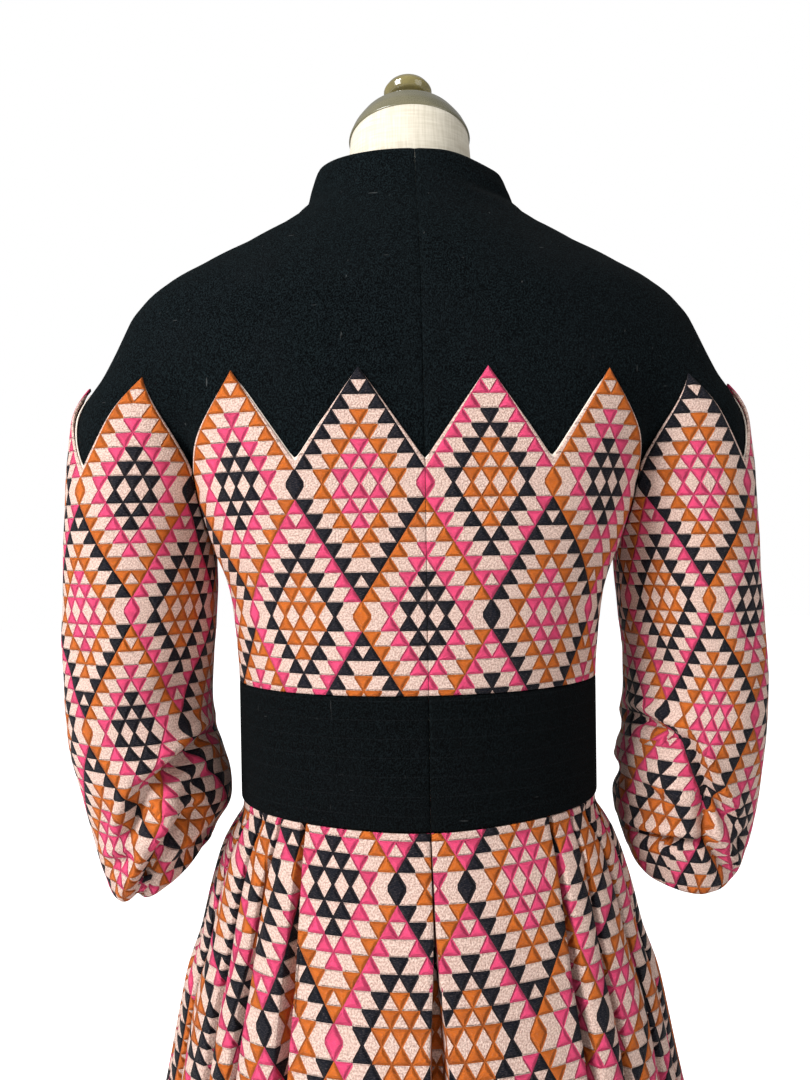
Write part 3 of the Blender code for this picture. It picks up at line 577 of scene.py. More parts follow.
def swallowed(creases, place, deepest):
    """How far the deep folds move the chart across and down below them, in metres."""
    hidden = np.zeros(place.shape)
    for *ends, _, deep in creases:
        share, below, length, under = beside(place, *ends)
        along = bell(np.clip(np.abs(share - 0.5) - 0.45, 0, None) * length / (12 * MM))
        past = np.clip(below / (7 * MM) + 1, 0, 1) * bell(np.clip(below, 0, None) / (45 * MM))
        much = ramp(deep, 4.5, 1.5) * deepest * along * past
        larger = much > np.linalg.norm(hidden, axis=-1)
        hidden = np.where(larger[..., None], much[..., None] * under, hidden)
    return hidden


def lay_cloth(name, rows, chart, finish, wall, closed=False, mirrored=False):
    """A shell of cloth from a grid of points and the chart's two coordinates at each of them."""
    rows = rows * (-1, 1, 1) if mirrored else rows
    count, columns = rows.shape[:2]
    wide = columns if closed else columns - 1
    r, c = np.meshgrid(np.arange(count - 1), np.arange(wide), indexing="ij")
    corners = ((0, 0), (0, 1), (1, 1), (1, 0))
    if mirrored:
        corners = corners[::-1]
    faces = np.stack([(r + dr) * columns + (c + dc) % columns for dr, dc in corners], axis=-1)
    mesh = bpy.data.meshes.new(name)
    mesh.from_pydata(rows.reshape(-1, 3).tolist(), [], faces.reshape(-1, 4).tolist())
    uv = np.stack([chart[r + dr, c + dc] for dr, dc in corners], axis=-2)
    layer = mesh.uv_layers.new(name="chart")
    layer.data.foreach_set("uv", uv.astype(np.float32).ravel())
    mesh.shade_smooth()
    mesh.materials.append(finish)
    piece = bpy.data.objects.new(name, mesh)
    bpy.context.scene.collection.objects.link(piece)
    if wall:
        thicken = piece.modifiers.new("wall", "SOLIDIFY")
        thicken.thickness = wall
        thicken.offset = -1.0
    return piece


def area_of(rows):
    """The face area of a grid, in square metres."""
    a, b, c, d = rows[:-1, :-1], rows[:-1, 1:], rows[1:, 1:], rows[1:, :-1]
    half = np.linalg.norm(np.cross(b - a, c - a), axis=2) + np.linalg.norm(np.cross(c - a, d - a), axis=2)
    return float(half.sum() / 2)


def declare_cloth(piece, rows, closed=False):
    """Say how large the piece was cut, and that it rides on the one body."""
    ring = np.concatenate([rows, rows[:, :1]], axis=1) if closed else rows
    width = max(run_of(row)[-1] for row in ring)
    length = max(run_of(ring[:, c])[-1] for c in range(0, ring.shape[1], 4))
    area = area_of(ring)
    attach(piece, "root")
    print(piece.name, "cut", round(width, 3), "by", round(length, 3), "m, area", round(area, 3))


def dress(name, rows, chart, goods, closed=False, mirrored=False):
    """One cut piece of the coat, in place of its plain solid; goods are its finish, wall and slot, and the
    slot is not used.
    """
    finish, wall, slot = goods
    piece = lay_cloth(f"{name}_cloth", rows, chart, finish, wall, closed, mirrored)
    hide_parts(name)
    declare_cloth(piece, rows, closed)


# Near a turned edge the face rolls over: how far below the edge each row lies, and how far in
EDGE_ROWS = np.array([0.0, 0.7, 1.9, 3.8]) * MM
EDGE_ROLL = np.array([1.5, 0.55, 0.12, 0.0]) * MM
SIDES = (("left", False), ("right", True))


def four_quarters(piece, part):
    """Make a part's four pieces, a back and a front on each side."""
    for side_name, right in SIDES:
        piece(f"{part}_back_{side_name}", False, right)
        piece(f"{part}_front_{side_name}", True, right)


def one_way_round(front, *grids):
    """Reverse the columns in front, where lengths run the other way and outward() would point inwards."""
    return [grid[:, ::-1] if front else grid for grid in grids]


def rows_below_edge(count):
    """How far below the edge the rolled rows lie, then the rest as even shares of the way down."""
    near = np.concatenate([EDGE_ROWS, np.full(count - 1, EDGE_ROWS[-1])])
    down = np.concatenate([np.zeros(len(EDGE_ROWS)), np.linspace(0, 1, count)[1:]])
    return near[:, None], down[:, None]


def roll_edge(rows, first=True):
    """Turn the first or last rows of a grid over towards the inside."""
    order = range(len(EDGE_ROLL)) if first else range(-1, -len(EDGE_ROLL) - 1, -1)
    depth = np.zeros(rows.shape[:2])
    for number, amount in zip(order, EDGE_ROLL):
        depth[number] = amount
    return pressed(rows, depth)

# %% [markdown]
# ## The woven diamonds
#
# The cloth is a traditional one: serrated diamonds built from small triangles, as on flat-woven rugs.
# Nothing is traced. The rule fits on a scrap of squared paper. A triangle is one unit wide and one row
# high. A diamond has eight rows above its middle and eight below; its outer triangles have one
# dye, then comes a ring of ground cloth, a ring of a second dye and a heart of a third. Three
# diamonds share the three dyes in turn, and every second row of diamonds is shifted by half.
#
# A chart like that could be painted as an image, but here the shader counts the triangles itself, so
# the edges stay sharp at any distance. The UV map holds units across and rows up.

# %% Shader arithmetic
class Flow:
    """A number or a colour that flows through a material. Each sum with it adds a Math node."""

    def __init__(self, finish, socket):
        self.finish, self.socket = finish, socket

    def do(self, operation, *others):
        return self.finish.sum(operation, self, *others)

    def __add__(self, other):
        return self.do("ADD", other)

    def __radd__(self, other):
        return self.finish.sum("ADD", other, self)

    def __sub__(self, other):
        return self.do("SUBTRACT", other)

    def __rsub__(self, other):
        return self.finish.sum("SUBTRACT", other, self)

    def __mul__(self, other):
        return self.do("MULTIPLY", other)

    def __lt__(self, other):
        return self.do("LESS_THAN", other)

    def __gt__(self, other):
        return self.do("GREATER_THAN", other)

    def __abs__(self):
        return self.do("ABSOLUTE")

    def whole(self):
        return self.do("FLOOR")

    def smaller(self, other):
        return self.do("MINIMUM", other)

    def larger(self, other):
        return self.do("MAXIMUM", other)

    def either(self, first, second):
        """The first where this is 1, the second where it is 0."""
        return self * first + (1.0 - self) * second

    def from_line(self):
        """How far a number is from the nearest whole one."""
        return self.do("PINGPONG", 0.5)

    def ramp(self, low, high):
        """0 up to the low number, 1 from the high one on, and eased in between."""
        return self.finish.make("MapRange", "Result", {"Value": self, "From Min": low, "From Max": high},
                                interpolation_type="SMOOTHSTEP")

    def relief(self, distance, strength=1.0, under=None):
        """Raise or sink the surface by this height times a distance, in metres."""
        inputs = {"Distance": distance, "Strength": strength, "Height": self}
        return self.finish.make("Bump", 0, inputs if under is None else {**inputs, "Normal": under})


class Finish:
    """A material in the making."""

    def __init__(self, name):
        self.material = bpy.data.materials.new(name)
        self.material.use_nodes = True
        self.tree = self.material.node_tree

    def feed(self, socket, value):
        """Link a socket to a flow, or set it to a number or a colour."""
        if isinstance(value, Flow):
            self.tree.links.new(value.socket, socket)
        else:
            socket.default_value = (*value, 1.0) if socket.type == "RGBA" else value

    def make(self, kind, output, inputs, **settings):
        """A new node with its settings and inputs, as the flow that comes out of it."""
        node = self.tree.nodes.new("ShaderNode" + kind)
        for name, value in settings.items():
            setattr(node, name, value)
        for key, value in inputs.items():
            self.feed(node.inputs[key], value)
        return Flow(self, node.outputs[output])

    def sum(self, operation, *values):
        return self.make("Math", 0, dict(enumerate(values)), operation=operation)

    def mixed(self, share, first, second):
        """A colour between two; sockets 6 and 7 of the node are its two colours."""
        return self.make("Mix", 2, {0: share, 6: first, 7: second}, data_type="RGBA")

    def chart(self):
        """The place on the woven chart, then its units across and its rows up."""
        place = self.make("UVMap", 0, {}, uv_map="chart")
        across = self.make("SeparateXYZ", 0, {0: place})
        return place, across, Flow(self, across.socket.node.outputs[1])

    def metres(self):
        """The place in the object's own metres."""
        return self.make("TexCoord", "Object", {})

    def grain(self, place, scale, stretch=(1.0, 1.0, 1.0), detail=2.0):
        """Noise at a scale, stretched along an axis for threads."""
        stretched = self.make("Mapping", 0, {"Scale": stretch, "Vector": place})
        return self.make("TexNoise", "Fac", {"Scale": scale, "Detail": detail, "Vector": stretched})

    def wear(self, sockets):
        """The finished material: what the shader's own sockets get."""
        for name, value in sockets.items():
            self.feed(self.tree.nodes["Principled BSDF"].inputs[name], value)
        return self.material


SWELL = 0.085
GROUND = (0.82, 0.612, 0.525)
DYES = {"navy": (0.005, 0.0065, 0.013), "pink": (1.0, 0.082, 0.225), "rust": (0.74, 0.168, 0.018)}


def diamond_cloth():
    """The puffed cloth of serrated diamonds."""
    cloth = Finish("diamond_cloth")
    chart, x, y = cloth.chart()

    # Which diamond: of the first row, centred on whole sevens, or of the row between
    height_a = abs(y.do("WRAP", 9.0, -9.0))
    across_a = x.do("WRAP", 3.5, -3.5)
    across_b = (x - 3.5).do("WRAP", 3.5, -3.5)
    in_a = 1.0 - (abs(across_a) > (8.0 - height_a) * 0.5)
    across = in_a.either(across_a, across_b)
    height = in_a.either(height_a, 9.0 - height_a)
    turn = in_a.either(((x + 3.5) * (1 / 7)).whole(), (x * (1 / 7)).whole() + 2.0)

    # Which triangle of it, counted from its edge
    row = 8.0 - height.whole()
    up_row = height - height.whole()
    spot = across + row * 0.5
    standing, hanging = spot.whole(), spot.do("ROUND")
    off_middle = abs(spot - (standing + 0.5))
    half_standing = (1.0 - up_row) * 0.5
    from_edge_standing = (standing + 1.0).smaller(row - standing)
    from_edge_hanging = hanging.smaller(row - hanging)
    # The dense stitches swell a little over the ground on either side
    dyed_standing = (off_middle < half_standing + SWELL) * (from_edge_standing < 1.5)
    dyed_hanging = (1.0 - (off_middle < half_standing - SWELL)) * (from_edge_hanging > 1.5)
    right_corner = (standing > 6.5) * (height < 1.0)
    step = dyed_standing.either(right_corner, 1.0 + (from_edge_hanging < 2.5))
    dye = (turn + step).do("FLOORED_MODULO", 3.0)

    # Above the first row's diamonds there is only ground cloth, in the zigzag's valleys
    over_the_first = (y > 0.0) * (1.0 - in_a)
    dyed = dyed_standing.larger(dyed_hanging) * (1.0 - over_the_first)

    # Lines of the lattice, and the puff between them; the lozenges and pale diamonds of the middle
    # rows have no line across them
    middle_row = 1.0 - ((y * (1 / 9)).from_line() * 9.0).ramp(0.3, 0.5)
    from_row = y.from_line() + middle_row
    half_y = y * 0.5
    from_any = from_row.smaller((x + half_y).from_line().smaller((x - half_y).from_line()))
    short_of_top = 1.0 - from_any.ramp(-0.03, 0.27)
    furrow = 1.0 - from_row.ramp(0.0, 0.10)
    puff = dyed.either(1.0 - short_of_top * short_of_top, (1.0 - furrow) * 0.45)

    # Threads: satin stitches in the dyed triangles, a pebbled crepe in the ground
    satin = cloth.grain(chart, 5.0, (1.2, 5.5, 1.0), 3.0)
    pebbles = cloth.grain(chart, 11.0, (1.0, 0.8, 1.0), 2.5)
    threads = dyed.either(satin * 0.9, pebbles * 0.8)

    # Colour: dye by number, specks in the ground, painted highlights on the satin stitches, deeper
    # patches in the dyes, and painted shade along the grooves of the lattice's lines
    is_navy, is_pink = dye < 0.5, dye < 1.5
    colour = cloth.mixed(is_navy, cloth.mixed(is_pink, DYES["rust"], DYES["pink"]), DYES["navy"])
    colour = cloth.mixed(dyed, GROUND, colour)
    speck = cloth.grain(chart, 10.0, (1.0, 0.8, 1.0), 3.0).ramp(0.38, 0.62) * (1.0 - dyed)
    colour = cloth.mixed(speck * 0.62, colour, (0.38, 0.20, 0.155))
    # Painted highlight: paler satin threads where the stitch noise is high, standing in for glints
    colour = cloth.mixed(satin.ramp(0.50, 0.72) * (dyed * 0.07), colour, (0.80, 0.62, 0.60))
    deeper = cloth.grain(chart, 0.9).ramp(0.40, 0.68) * (dyed * (1.0 - is_navy)) * 0.26
    colour = cloth.mixed(deeper, colour, (0.10, 0.012, 0.008))
    # A second, broader painted highlight on the satin stitches
    colour = cloth.mixed(satin.ramp(0.45, 0.80) * (dyed * 0.05), colour, (0.75, 0.60, 0.55))
    # Painted shade: darker colour along the lattice's grooves, strongest between dyed triangles
    line = (1.0 - from_any.ramp(0.0, 0.045)) * (0.05 + dyed * 0.26)
    return cloth.wear({
        "Base Color": cloth.mixed(line, colour, (0.055, 0.030, 0.025)),
        "Normal": puff.relief(2.6 * MM, under=threads.relief(2.0 * MM)),
        "Roughness": dyed.either(0.62, 0.86), "Specular IOR Level": 0.10,
        "Sheen Weight": 0.03, "Sheen Roughness": 0.5})


diamonds = diamond_cloth()
DIAMOND_CLOTH = diamonds, PATTERNED_WALL - 0.3 * MM, "patterned_cloth"
print("diamond cloth has", len(diamonds.node_tree.nodes), "nodes")

# %% [markdown]
# ## Black wool crepe
#
# Crepe has no visible weave. Its hard-twisted yarns leave a pebbled face that drinks the light, and
# wool collects lint. So the black is nearly even, with a fine bump a millimetre across, a weak sheen
# from the nap, and a few short pale fibres that come from stretched noise cut at its very peaks.

# %% Crepe
STITCH = 3.4 * MM


def crepe(name, stitch_rows=0.0, shade=1.0):
    """Black wool crepe, with faint rows of stitching if a spacing is given, in metres, and painted shade that
    darkens its colour towards black by a share.
    """
    wool = Finish(name)
    metres = wool.metres()
    pebbles = wool.grain(metres, 1000.0, (1.0, 1.0, 0.8))
    lint = wool.grain(metres, 420.0, (1.0, 1.0, 0.16), 1.0).ramp(0.775, 0.83)
    lint_across = wool.grain(metres, 380.0, (0.15, 0.25, 1.1), 1.0).ramp(0.785, 0.84)
    colour = wool.mixed(pebbles.ramp(0.35, 0.75), (0.0006, 0.0012, 0.0016), (0.0130, 0.0215, 0.0250))
    colour = wool.mixed(wool.grain(metres, 16.0).ramp(0.4, 0.8) * 0.25, colour, (0.010, 0.0125, 0.0145))
    colour = wool.mixed(lint.larger(lint_across) * 0.22, colour, (0.30, 0.31, 0.31))
    relief = pebbles.relief(0.9 * MM)
    if stitch_rows:
        _, along, up = wool.chart()
        from_row = (up * (1 / stitch_rows)).from_line() * (stitch_rows / MM)
        groove = 1.0 - from_row.ramp(0.15, 1.1)
        stitch = (along * (1 / STITCH)).from_line().ramp(0.06, 0.18)
        relief = (groove * (0.5 + stitch * -0.5)).relief(0.5 * MM, -0.55, relief)
        thread = (1.0 - from_row.ramp(0.10, 0.35)) * stitch * 0.45
        colour = wool.mixed(thread, colour, (0.030, 0.034, 0.038))
    return wool.wear({
        # Painted shade: the colour is darkened towards black by the share that is not lit
        "Base Color": wool.mixed(1.0 - shade, colour, (0.002, 0.002, 0.002)), "Normal": relief,
        "Roughness": 0.92, "Specular IOR Level": 0.02, "Sheen Weight": 0.008, "Sheen Roughness": 0.45})


# Both crepes carry painted shade, the waistband much more than the yoke
yoke_crepe = crepe("black_wool_crepe", shade=0.64)
band_crepe = crepe("stitched_black_crepe", stitch_rows=13.5 * MM, shade=0.36)
YOKE_WOOL = yoke_crepe, CREPE_WALL - 0.2 * MM, "black_wool"
BAND_WOOL = band_crepe, BAND_WALL - 0.3 * MM, "black_wool"


def ground_cloth():
    """The pale ground of the diamond cloth, where its edge is turned under."""
    cloth = Finish("pale_ground_cloth")
    pebbles = cloth.grain(cloth.metres(), 1100.0)
    colour = cloth.mixed(pebbles.ramp(0.35, 0.7), (0.78, 0.66, 0.56), (0.93, 0.84, 0.74))
    return cloth.wear({"Base Color": colour, "Normal": pebbles.relief(0.4 * MM, 0.7), "Roughness": 0.85})


pale_ground = ground_cloth()
print("crepes", yoke_crepe.name, "and", band_crepe.name)

# %% [markdown]
# ## The zigzag edge and the armhole
#
# The bodice and sleeves end in a zigzag that follows the woven diamonds, one point to every seven
# units. It lies on the yoke like an applique. The armhole is where the sleeve's face meets the
# bodice's: for each line up the sleeve we halve our way to the height at which it leaves the torso.

# %% Zigzag and armhole
UNIT = 13.4 * MM
ROW = 10.6 * MM
SLEEVE_ROW = 10.2 * MM
FIRST_ROW_HEIGHT = 1.1957
ZIGZAG_VALLEY = 1.2125
ZIGZAG_PEAK = 1.2800
BAND_TOP = 1.043
BAND_BOTTOM = 0.947
BELOW_ARMPIT = 1.125
SIDE_SEAM = 0.002
CLOTH_STEP = UNIT / 4


def zigzag(units):
    """The height of the zigzag edge, at a distance in units from a valley."""
    swing = 1 - np.abs((units / 3.5) % 2 - 1)
    return ZIGZAG_VALLEY + (ZIGZAG_PEAK - ZIGZAG_VALLEY) * swing


def clear_height(angle):
    """How high lines up the sleeve go before they meet the bodice."""
    low = np.full(np.shape(angle), BELOW_ARMPIT)
    high = np.full(np.shape(angle), ZIGZAG_PEAK)
    for _ in range(16):
        middle = (low + high) / 2
        spot = on_arm(middle, angle)
        clear = torso(spot[..., 0], spot[..., 1], middle) > PANEL_RISE + SEAM_GAP
        low, high = np.where(clear, middle, low), np.where(clear, high, middle)
    return low


behind = np.linspace(math.radians(100), math.pi, 161)
BACK_VALLEY = float(behind[np.argmax(clear_height(behind) <= ZIGZAG_VALLEY)])
FRONT_VALLEY = float(behind[np.argmax(clear_height(-behind) <= ZIGZAG_VALLEY)])
armhole_angles = np.linspace(BACK_VALLEY, 2 * math.pi - FRONT_VALLEY, 61)
armhole_heights = clear_height(armhole_angles)
armhole_points = on_arm(armhole_heights, armhole_angles)
print("armhole from", armhole_points[0].round(3), "down to", armhole_points[:, 2].min().round(3))

# %% [markdown]
# ## The yoke with its funnel collar
#
# The yoke is cut in a back and a front on each side, and the collar grows out of it, so there is no
# seam at the neck. Its rows start behind the zigzag edge, and the last ones roll over at the collar's
# top. Beside the centre-back seam the cloth dips, because the seam allowances pull it in. One soft
# crease runs from the collar to the neck, as wool does where it turns from lying to standing.

# %% Yoke
FIRST_LEVELS = np.linspace(YOKE_LOW, 1.38, 52)
UPPER_LEVELS = np.linspace(1.38, COLLAR_TOP, 34)[1:]
COLLAR_SINKS = 6.5 * MM
COLLAR_CREASES = (
    (-0.030, 1.438, -0.086, 1.4235, 7.0, 1.9),
    (-0.040, 1.4495, -0.080, 1.4330, 8.0, -1.3),
    (0.050, 1.440, 0.088, 1.4250, 8.0, 1.2),
    (0.012, 1.395, 0.075, 1.355, 26.0, 0.9),
    (-0.080, 1.380, -0.140, 1.330, 24.0, 1.0),
    (0.150, 1.345, 0.205, 1.300, 20.0, 1.2),
    (-0.165, 1.335, -0.205, 1.290, 18.0, 1.2),
)


def yoke_piece(name, front, right):
    """One of the yoke's four pieces, from the centre seam to the shoulder seam."""
    levels = np.concatenate([UPPER_LEVELS[::-1], FIRST_LEVELS[::-1]])
    ways = np.concatenate([[0.0, 0.004, 0.009], np.linspace(0.02, 0.994, 92), [1.0]])
    ways = 2 - ways[::-1] if front else ways
    rows = on_yoke(levels[:, None], ways[None, :])
    # The seams dip, and the collar's edge rolls over its allowance
    centre, shoulder = (-1, 0) if front else (0, -1)
    from_shoulder = np.linalg.norm(rows - rows[:, shoulder][:, None], axis=2)
    rows = pressed(rows, seam_dip(rows[:, :, 0], 0.9, 2.2) + seam_dip(from_shoulder, 0.5, 2.0))
    rows = roll_edge(rows)
    # The creases are drawn as seen on the back of the left half and on the front of the right one
    rows = press_creases(rows, COLLAR_CREASES, rows[:, :, [0, 2]] * (1 if right == front else -1, 1))
    if right:
        # On this side the collar sinks a little
        sunk = eased(ramp(rows[:, :, 0], 0.020, 0.045)) * ramp(rows[:, :, 2], 1.425, 0.03)
        rows[:, :, 2] -= COLLAR_SINKS * sunk
    rows[:, centre, 0] = 0.03 * MM
    rows[:, shoulder, 1] += (-1 if front else 1) * SEAM_GAP
    dress(name, rows, rows[:, :, [0, 2]], YOKE_WOOL, mirrored=right)


four_quarters(yoke_piece, "yoke")

# %% [markdown]
# ## The bodice
#
# Each quarter of the bodice runs from its centre seam to its side seam. Columns stand a quarter of a
# unit apart, so that one falls on every peak and valley of the zigzag, and rows go from that edge
# down to the waistband. The chart starts at the centre back on a diamond's corner, as in the photo.

# %% Bodice
LAST_PEAK = 10.5 * UNIT
VALLEY_STEPS = 18
HOLLOW = 0.65


def side_length(z, front):
    """The length round the bodice at which the side seam lies, for each height."""
    lengths = []
    for height in np.atleast_1d(z):
        run = np.linspace(0.15, 0.32, 341)
        points = on_torso(np.full(run.shape, height), run, front)
        facing = 1 if front else -1
        lengths.append(np.interp(facing * SIDE_SEAM, facing * points[:, 1], run))
    return np.array(lengths)


def length_round(point, front):
    """How far round the bodice a point of the armhole lies."""
    run = np.linspace(0.10, 0.32, 881)
    spots = on_torso(np.full(run.shape, point[2]), run, front)
    return float(run[np.argmin(np.hypot(spots[:, 0] - point[0], spots[:, 1] - point[1]))])


def hollowed(beyond):
    """How far down the hollowed slope lies a share of the way across it."""
    return (np.sqrt(HOLLOW ** 2 + 4 * (1 - HOLLOW) * beyond) - HOLLOW) / (2 * (1 - HOLLOW))


def bodice_piece(name, front, right):
    """A quarter of the bodice, from its centre seam to its side seam."""
    heights = np.linspace(BAND_TOP - 5 * MM, ZIGZAG_PEAK, 60)
    sides = side_length(heights, front)
    # Where the armhole's points lie along the bodice, as shares of the way to the side seam
    shares, tops = [], []
    for point in armhole_points[::-1] if front else armhole_points:
        side = np.interp(point[2], heights, sides)
        share = (length_round(point, front) - LAST_PEAK) / (side - LAST_PEAK)
        if share <= 0.93 and not (shares and share <= shares[-1]):
            shares.append(share)
            tops.append(point[2])
    # From the last point down to the armhole's corner the edge hollows a little towards the back
    slide = np.linspace(0, 1, VALLEY_STEPS)[:-1]
    valley = shares[0]
    corner = LAST_PEAK + valley * (np.interp(tops[0], heights, sides) - LAST_PEAK)
    slide_tops = ZIGZAG_PEAK + (tops[0] - ZIGZAG_PEAK) * slide
    slide_shares = ((corner - LAST_PEAK) * slide * (HOLLOW + (1 - HOLLOW) * slide)
                    / (np.interp(slide_tops, heights, sides) - LAST_PEAK))
    shares = [*slide_shares, *shares, 1.0]
    tops = [*slide_tops, *tops, float(armhole_points[:, 2].min()) - 0.5 * MM]
    whole = np.arange(0, LAST_PEAK + CLOTH_STEP / 2, CLOTH_STEP)
    whole = np.sort(np.append(whole, [0.8 * MM, 2.0 * MM]))
    later = np.concatenate([slide_shares[1:], [valley], np.linspace(valley, 1.0, 16)[1:]])
    top = np.concatenate([zigzag(whole / UNIT), np.interp(later, shares, tops)])
    near, down = rows_below_edge(66)
    z = top - near - down * (top - EDGE_ROWS[-1] - BAND_TOP - SEAM_GAP)
    side = np.interp(z, heights, sides)
    distance = np.empty(z.shape)
    distance[:, :len(whole)] = whole
    distance[:, len(whole):] = LAST_PEAK + (side[:, len(whole):] - 0.3 * MM - LAST_PEAK) * later
    # Beyond the last point the diamond is squeezed to fit that edge
    beyond = np.clip((distance - LAST_PEAK) / (corner - LAST_PEAK), 0, None)
    units = np.minimum(distance, LAST_PEAK) / UNIT + 3.5 * hollowed(beyond)
    print("armhole corner of", name, "at", round(corner / UNIT, 2), "units")
    across = 3.5 + (units if right != front else -units)
    chart = np.stack([across, (z - FIRST_ROW_HEIGHT) / ROW], axis=-1)
    rows, chart, dip = one_way_round(front, on_torso(z, distance, front), chart, seam_dip(distance, 0.8, 1.8))
    rows = roll_edge(pressed(rows, dip))
    rows[:, -1 if front else 0, 0] += SEAM_GAP / 2
    dress(name, rows, chart, DIAMOND_CLOTH, mirrored=right)


four_quarters(bodice_piece, "bodice")

# %% [markdown]
# ## The sleeves
#
# A sleeve is one piece: its head ends in the zigzag on the outer side and in the armhole on the inner
# side, then the tube swells to a soft balloon and turns under at the hem. We join the traced rows and
# the rings of the table into one line down each column and resample it by length, so the rows stay
# evenly spaced round the turn. The chart follows lengths too, starting at the armhole's back corner.

# %% Sleeve helpers
def smooth_down(rows, lengths):
    """Read every column of a coarse grid at given lengths from its top, along smooth curves."""
    steps = np.linalg.norm(np.diff(rows, axis=0), axis=2)
    run = np.concatenate([np.zeros((1, rows.shape[1])), np.cumsum(steps, axis=0)])
    result = np.empty((len(lengths), rows.shape[1], 3))
    for c in range(rows.shape[1]):
        spots, s, p = lengths[:, c], run[:, c], rows[:, c]
        slope = np.gradient(p, s, axis=0)
        i = np.clip(np.searchsorted(s, spots, side="right") - 1, 0, len(s) - 2)
        span = (s[i + 1] - s[i])[:, None]
        t = np.clip((spots - s[i])[:, None] / span, 0, 1)
        result[:, c] = joined(p[i], p[i + 1], slope[i], slope[i + 1], span, t)
    return result


def sleeve_head():
    """Angles of the columns, heights of the top edge, and lengths round the arm, all from the underarm."""
    sweep = np.linspace(math.pi, -math.pi, 1441)
    ring = on_arm((ZIGZAG_VALLEY + ZIGZAG_PEAK) / 2, sweep)
    run = run_of(ring)
    back = float(np.interp(-BACK_VALLEY, -sweep, run))
    front = float(np.interp(FRONT_VALLEY, -sweep, run))
    point = 7 * UNIT
    whole_points = int((front - back) / point)
    left_over = front - back - whole_points * point
    outer = np.arange(0, whole_points * point + CLOTH_STEP / 2, CLOTH_STEP)
    rest = np.linspace(0, left_over, 2 * int(left_over / CLOTH_STEP / 2) + 3)[1:]
    lengths = np.concatenate([
        np.linspace(0, back, int(back / CLOTH_STEP) + 1)[:-1],
        back + outer, back + whole_points * point + rest,
        np.linspace(front, run[-1], int((run[-1] - front) / CLOTH_STEP) + 1)[1:-1],
    ])
    angles = np.interp(lengths, run, sweep)
    stations = lengths - back
    over = stations - whole_points * point
    reach = np.where(over > 0, np.minimum(over, left_over - over), stations)
    tops = zigzag(np.clip(reach, 0, None) / UNIT)
    under = np.interp(angles % (2 * math.pi), armhole_angles, armhole_heights)
    inside = (stations < 0) | (stations > front - back)
    return angles, np.where(inside, under, tops), stations, run[-1]


TAKEN_IN = 4.5 * MM
POINTS_LIFT, LIFT_FROM, LIFT_OVER = 2.4 * MM, 1.225, 0.040
SLEEVE_CREASES = {
    # As seen from behind: across, height at one end and at the other, then width and depth in mm
    "left_back": (
        (0.165, 1.004, 0.213, 0.970, 6.0, 6.5),
        (0.213, 0.970, 0.229, 0.929, 6.0, 5.5),
        (0.190, 1.016, 0.236, 0.965, 16.0, -3.0),
        (0.181, 0.949, 0.204, 0.917, 5.5, 6.5),
        (0.204, 0.917, 0.229, 0.873, 6.0, 6.0),
        (0.190, 0.966, 0.218, 0.922, 7.5, -3.5),
        (0.160, 0.930, 0.192, 0.902, 7.0, 3.5),
        (0.222, 0.918, 0.246, 0.905, 6.0, 2.6),
        (0.166, 0.975, 0.186, 0.962, 6.0, 2.5),
        (0.176, 1.060, 0.196, 1.035, 13.0, 1.8),
        (0.250, 1.085, 0.276, 1.050, 15.0, 1.4),
    ),
    "right_back": (
        (0.173, 1.008, 0.208, 0.992, 6.0, 5.5),
        (0.208, 0.992, 0.219, 0.958, 5.5, 6.0),
        (0.219, 0.958, 0.240, 0.928, 6.0, 6.0),
        (0.196, 1.015, 0.238, 0.962, 16.0, -3.0),
        (0.216, 0.952, 0.219, 0.915, 5.5, 6.0),
        (0.219, 0.915, 0.245, 0.882, 6.0, 5.5),
        (0.171, 0.909, 0.217, 0.913, 5.0, 5.2),
        (0.188, 0.975, 0.205, 0.930, 12.0, -3.0),
        (0.176, 0.952, 0.200, 0.941, 6.0, 2.6),
        (0.240, 0.905, 0.262, 0.918, 6.0, 2.4),
        (0.178, 1.070, 0.200, 1.045, 13.0, 1.6),
        (0.245, 1.100, 0.272, 1.060, 16.0, 1.4),
    ),
    "front": (
        (0.178, 0.992, 0.214, 0.958, 8.0, 4.5),
        (0.186, 0.950, 0.222, 0.925, 7.0, 4.5),
        (0.196, 1.000, 0.240, 0.966, 15.0, -2.5),
        (0.222, 0.945, 0.252, 0.930, 7.0, 3.0),
        (0.182, 1.066, 0.206, 1.038, 13.0, 1.6),
        (0.170, 0.960, 0.186, 0.930, 6.0, 3.5),
    ),
}


def sleeve_rings(tops, angles, right):
    """The sleeve's level rings, from its top edge to the turned-under hem."""
    rings = [on_arm(tops + (BELOW_ARMPIT - tops) * share, angles) for share in np.linspace(0, 1, 15)]
    across, swing = np.cos(angles), np.sin(angles)
    for z, outer, inner, depth, middle, drop, rise in zip(*SLEEVE_RINGS.values()):
        outer = outer - TAKEN_IN
        low, elbow = ramp(z, 0.965, -0.07), ramp(z, 1.0, -0.05)
        if right:
            outer = outer + (5.0 * ramp(z, 1.10, -0.06) + 3.0 * ramp(z, 0.98, -0.05)) * MM
            inner = inner + 4.0 * MM * elbow - 9.0 * MM * low
            sag = np.where(swing > 0, -0.68 * drop, rise) * np.abs(swing) + 7.0 * MM * low * across
        else:
            outer = outer - 4.0 * MM * elbow - 5.0 * MM * low
            inner = inner - 4.0 * MM * elbow
            sag = np.where(swing > 0, -0.40 * drop, rise) * swing * swing - 15.0 * MM * low * across
        x = (outer + inner) / 2 + (outer - inner) / 2 * across
        rings.append(np.stack([x, middle + depth * swing, z + sag], axis=1))
    rings = np.array(rings)
    if right:
        # The right sleeve hangs clearer of the waist
        rings[:, :, 0] += 7.5 * MM * np.clip(-across, 0, 1) * ramp(rings[:, :, 2], 1.19, -0.08)
    return rings


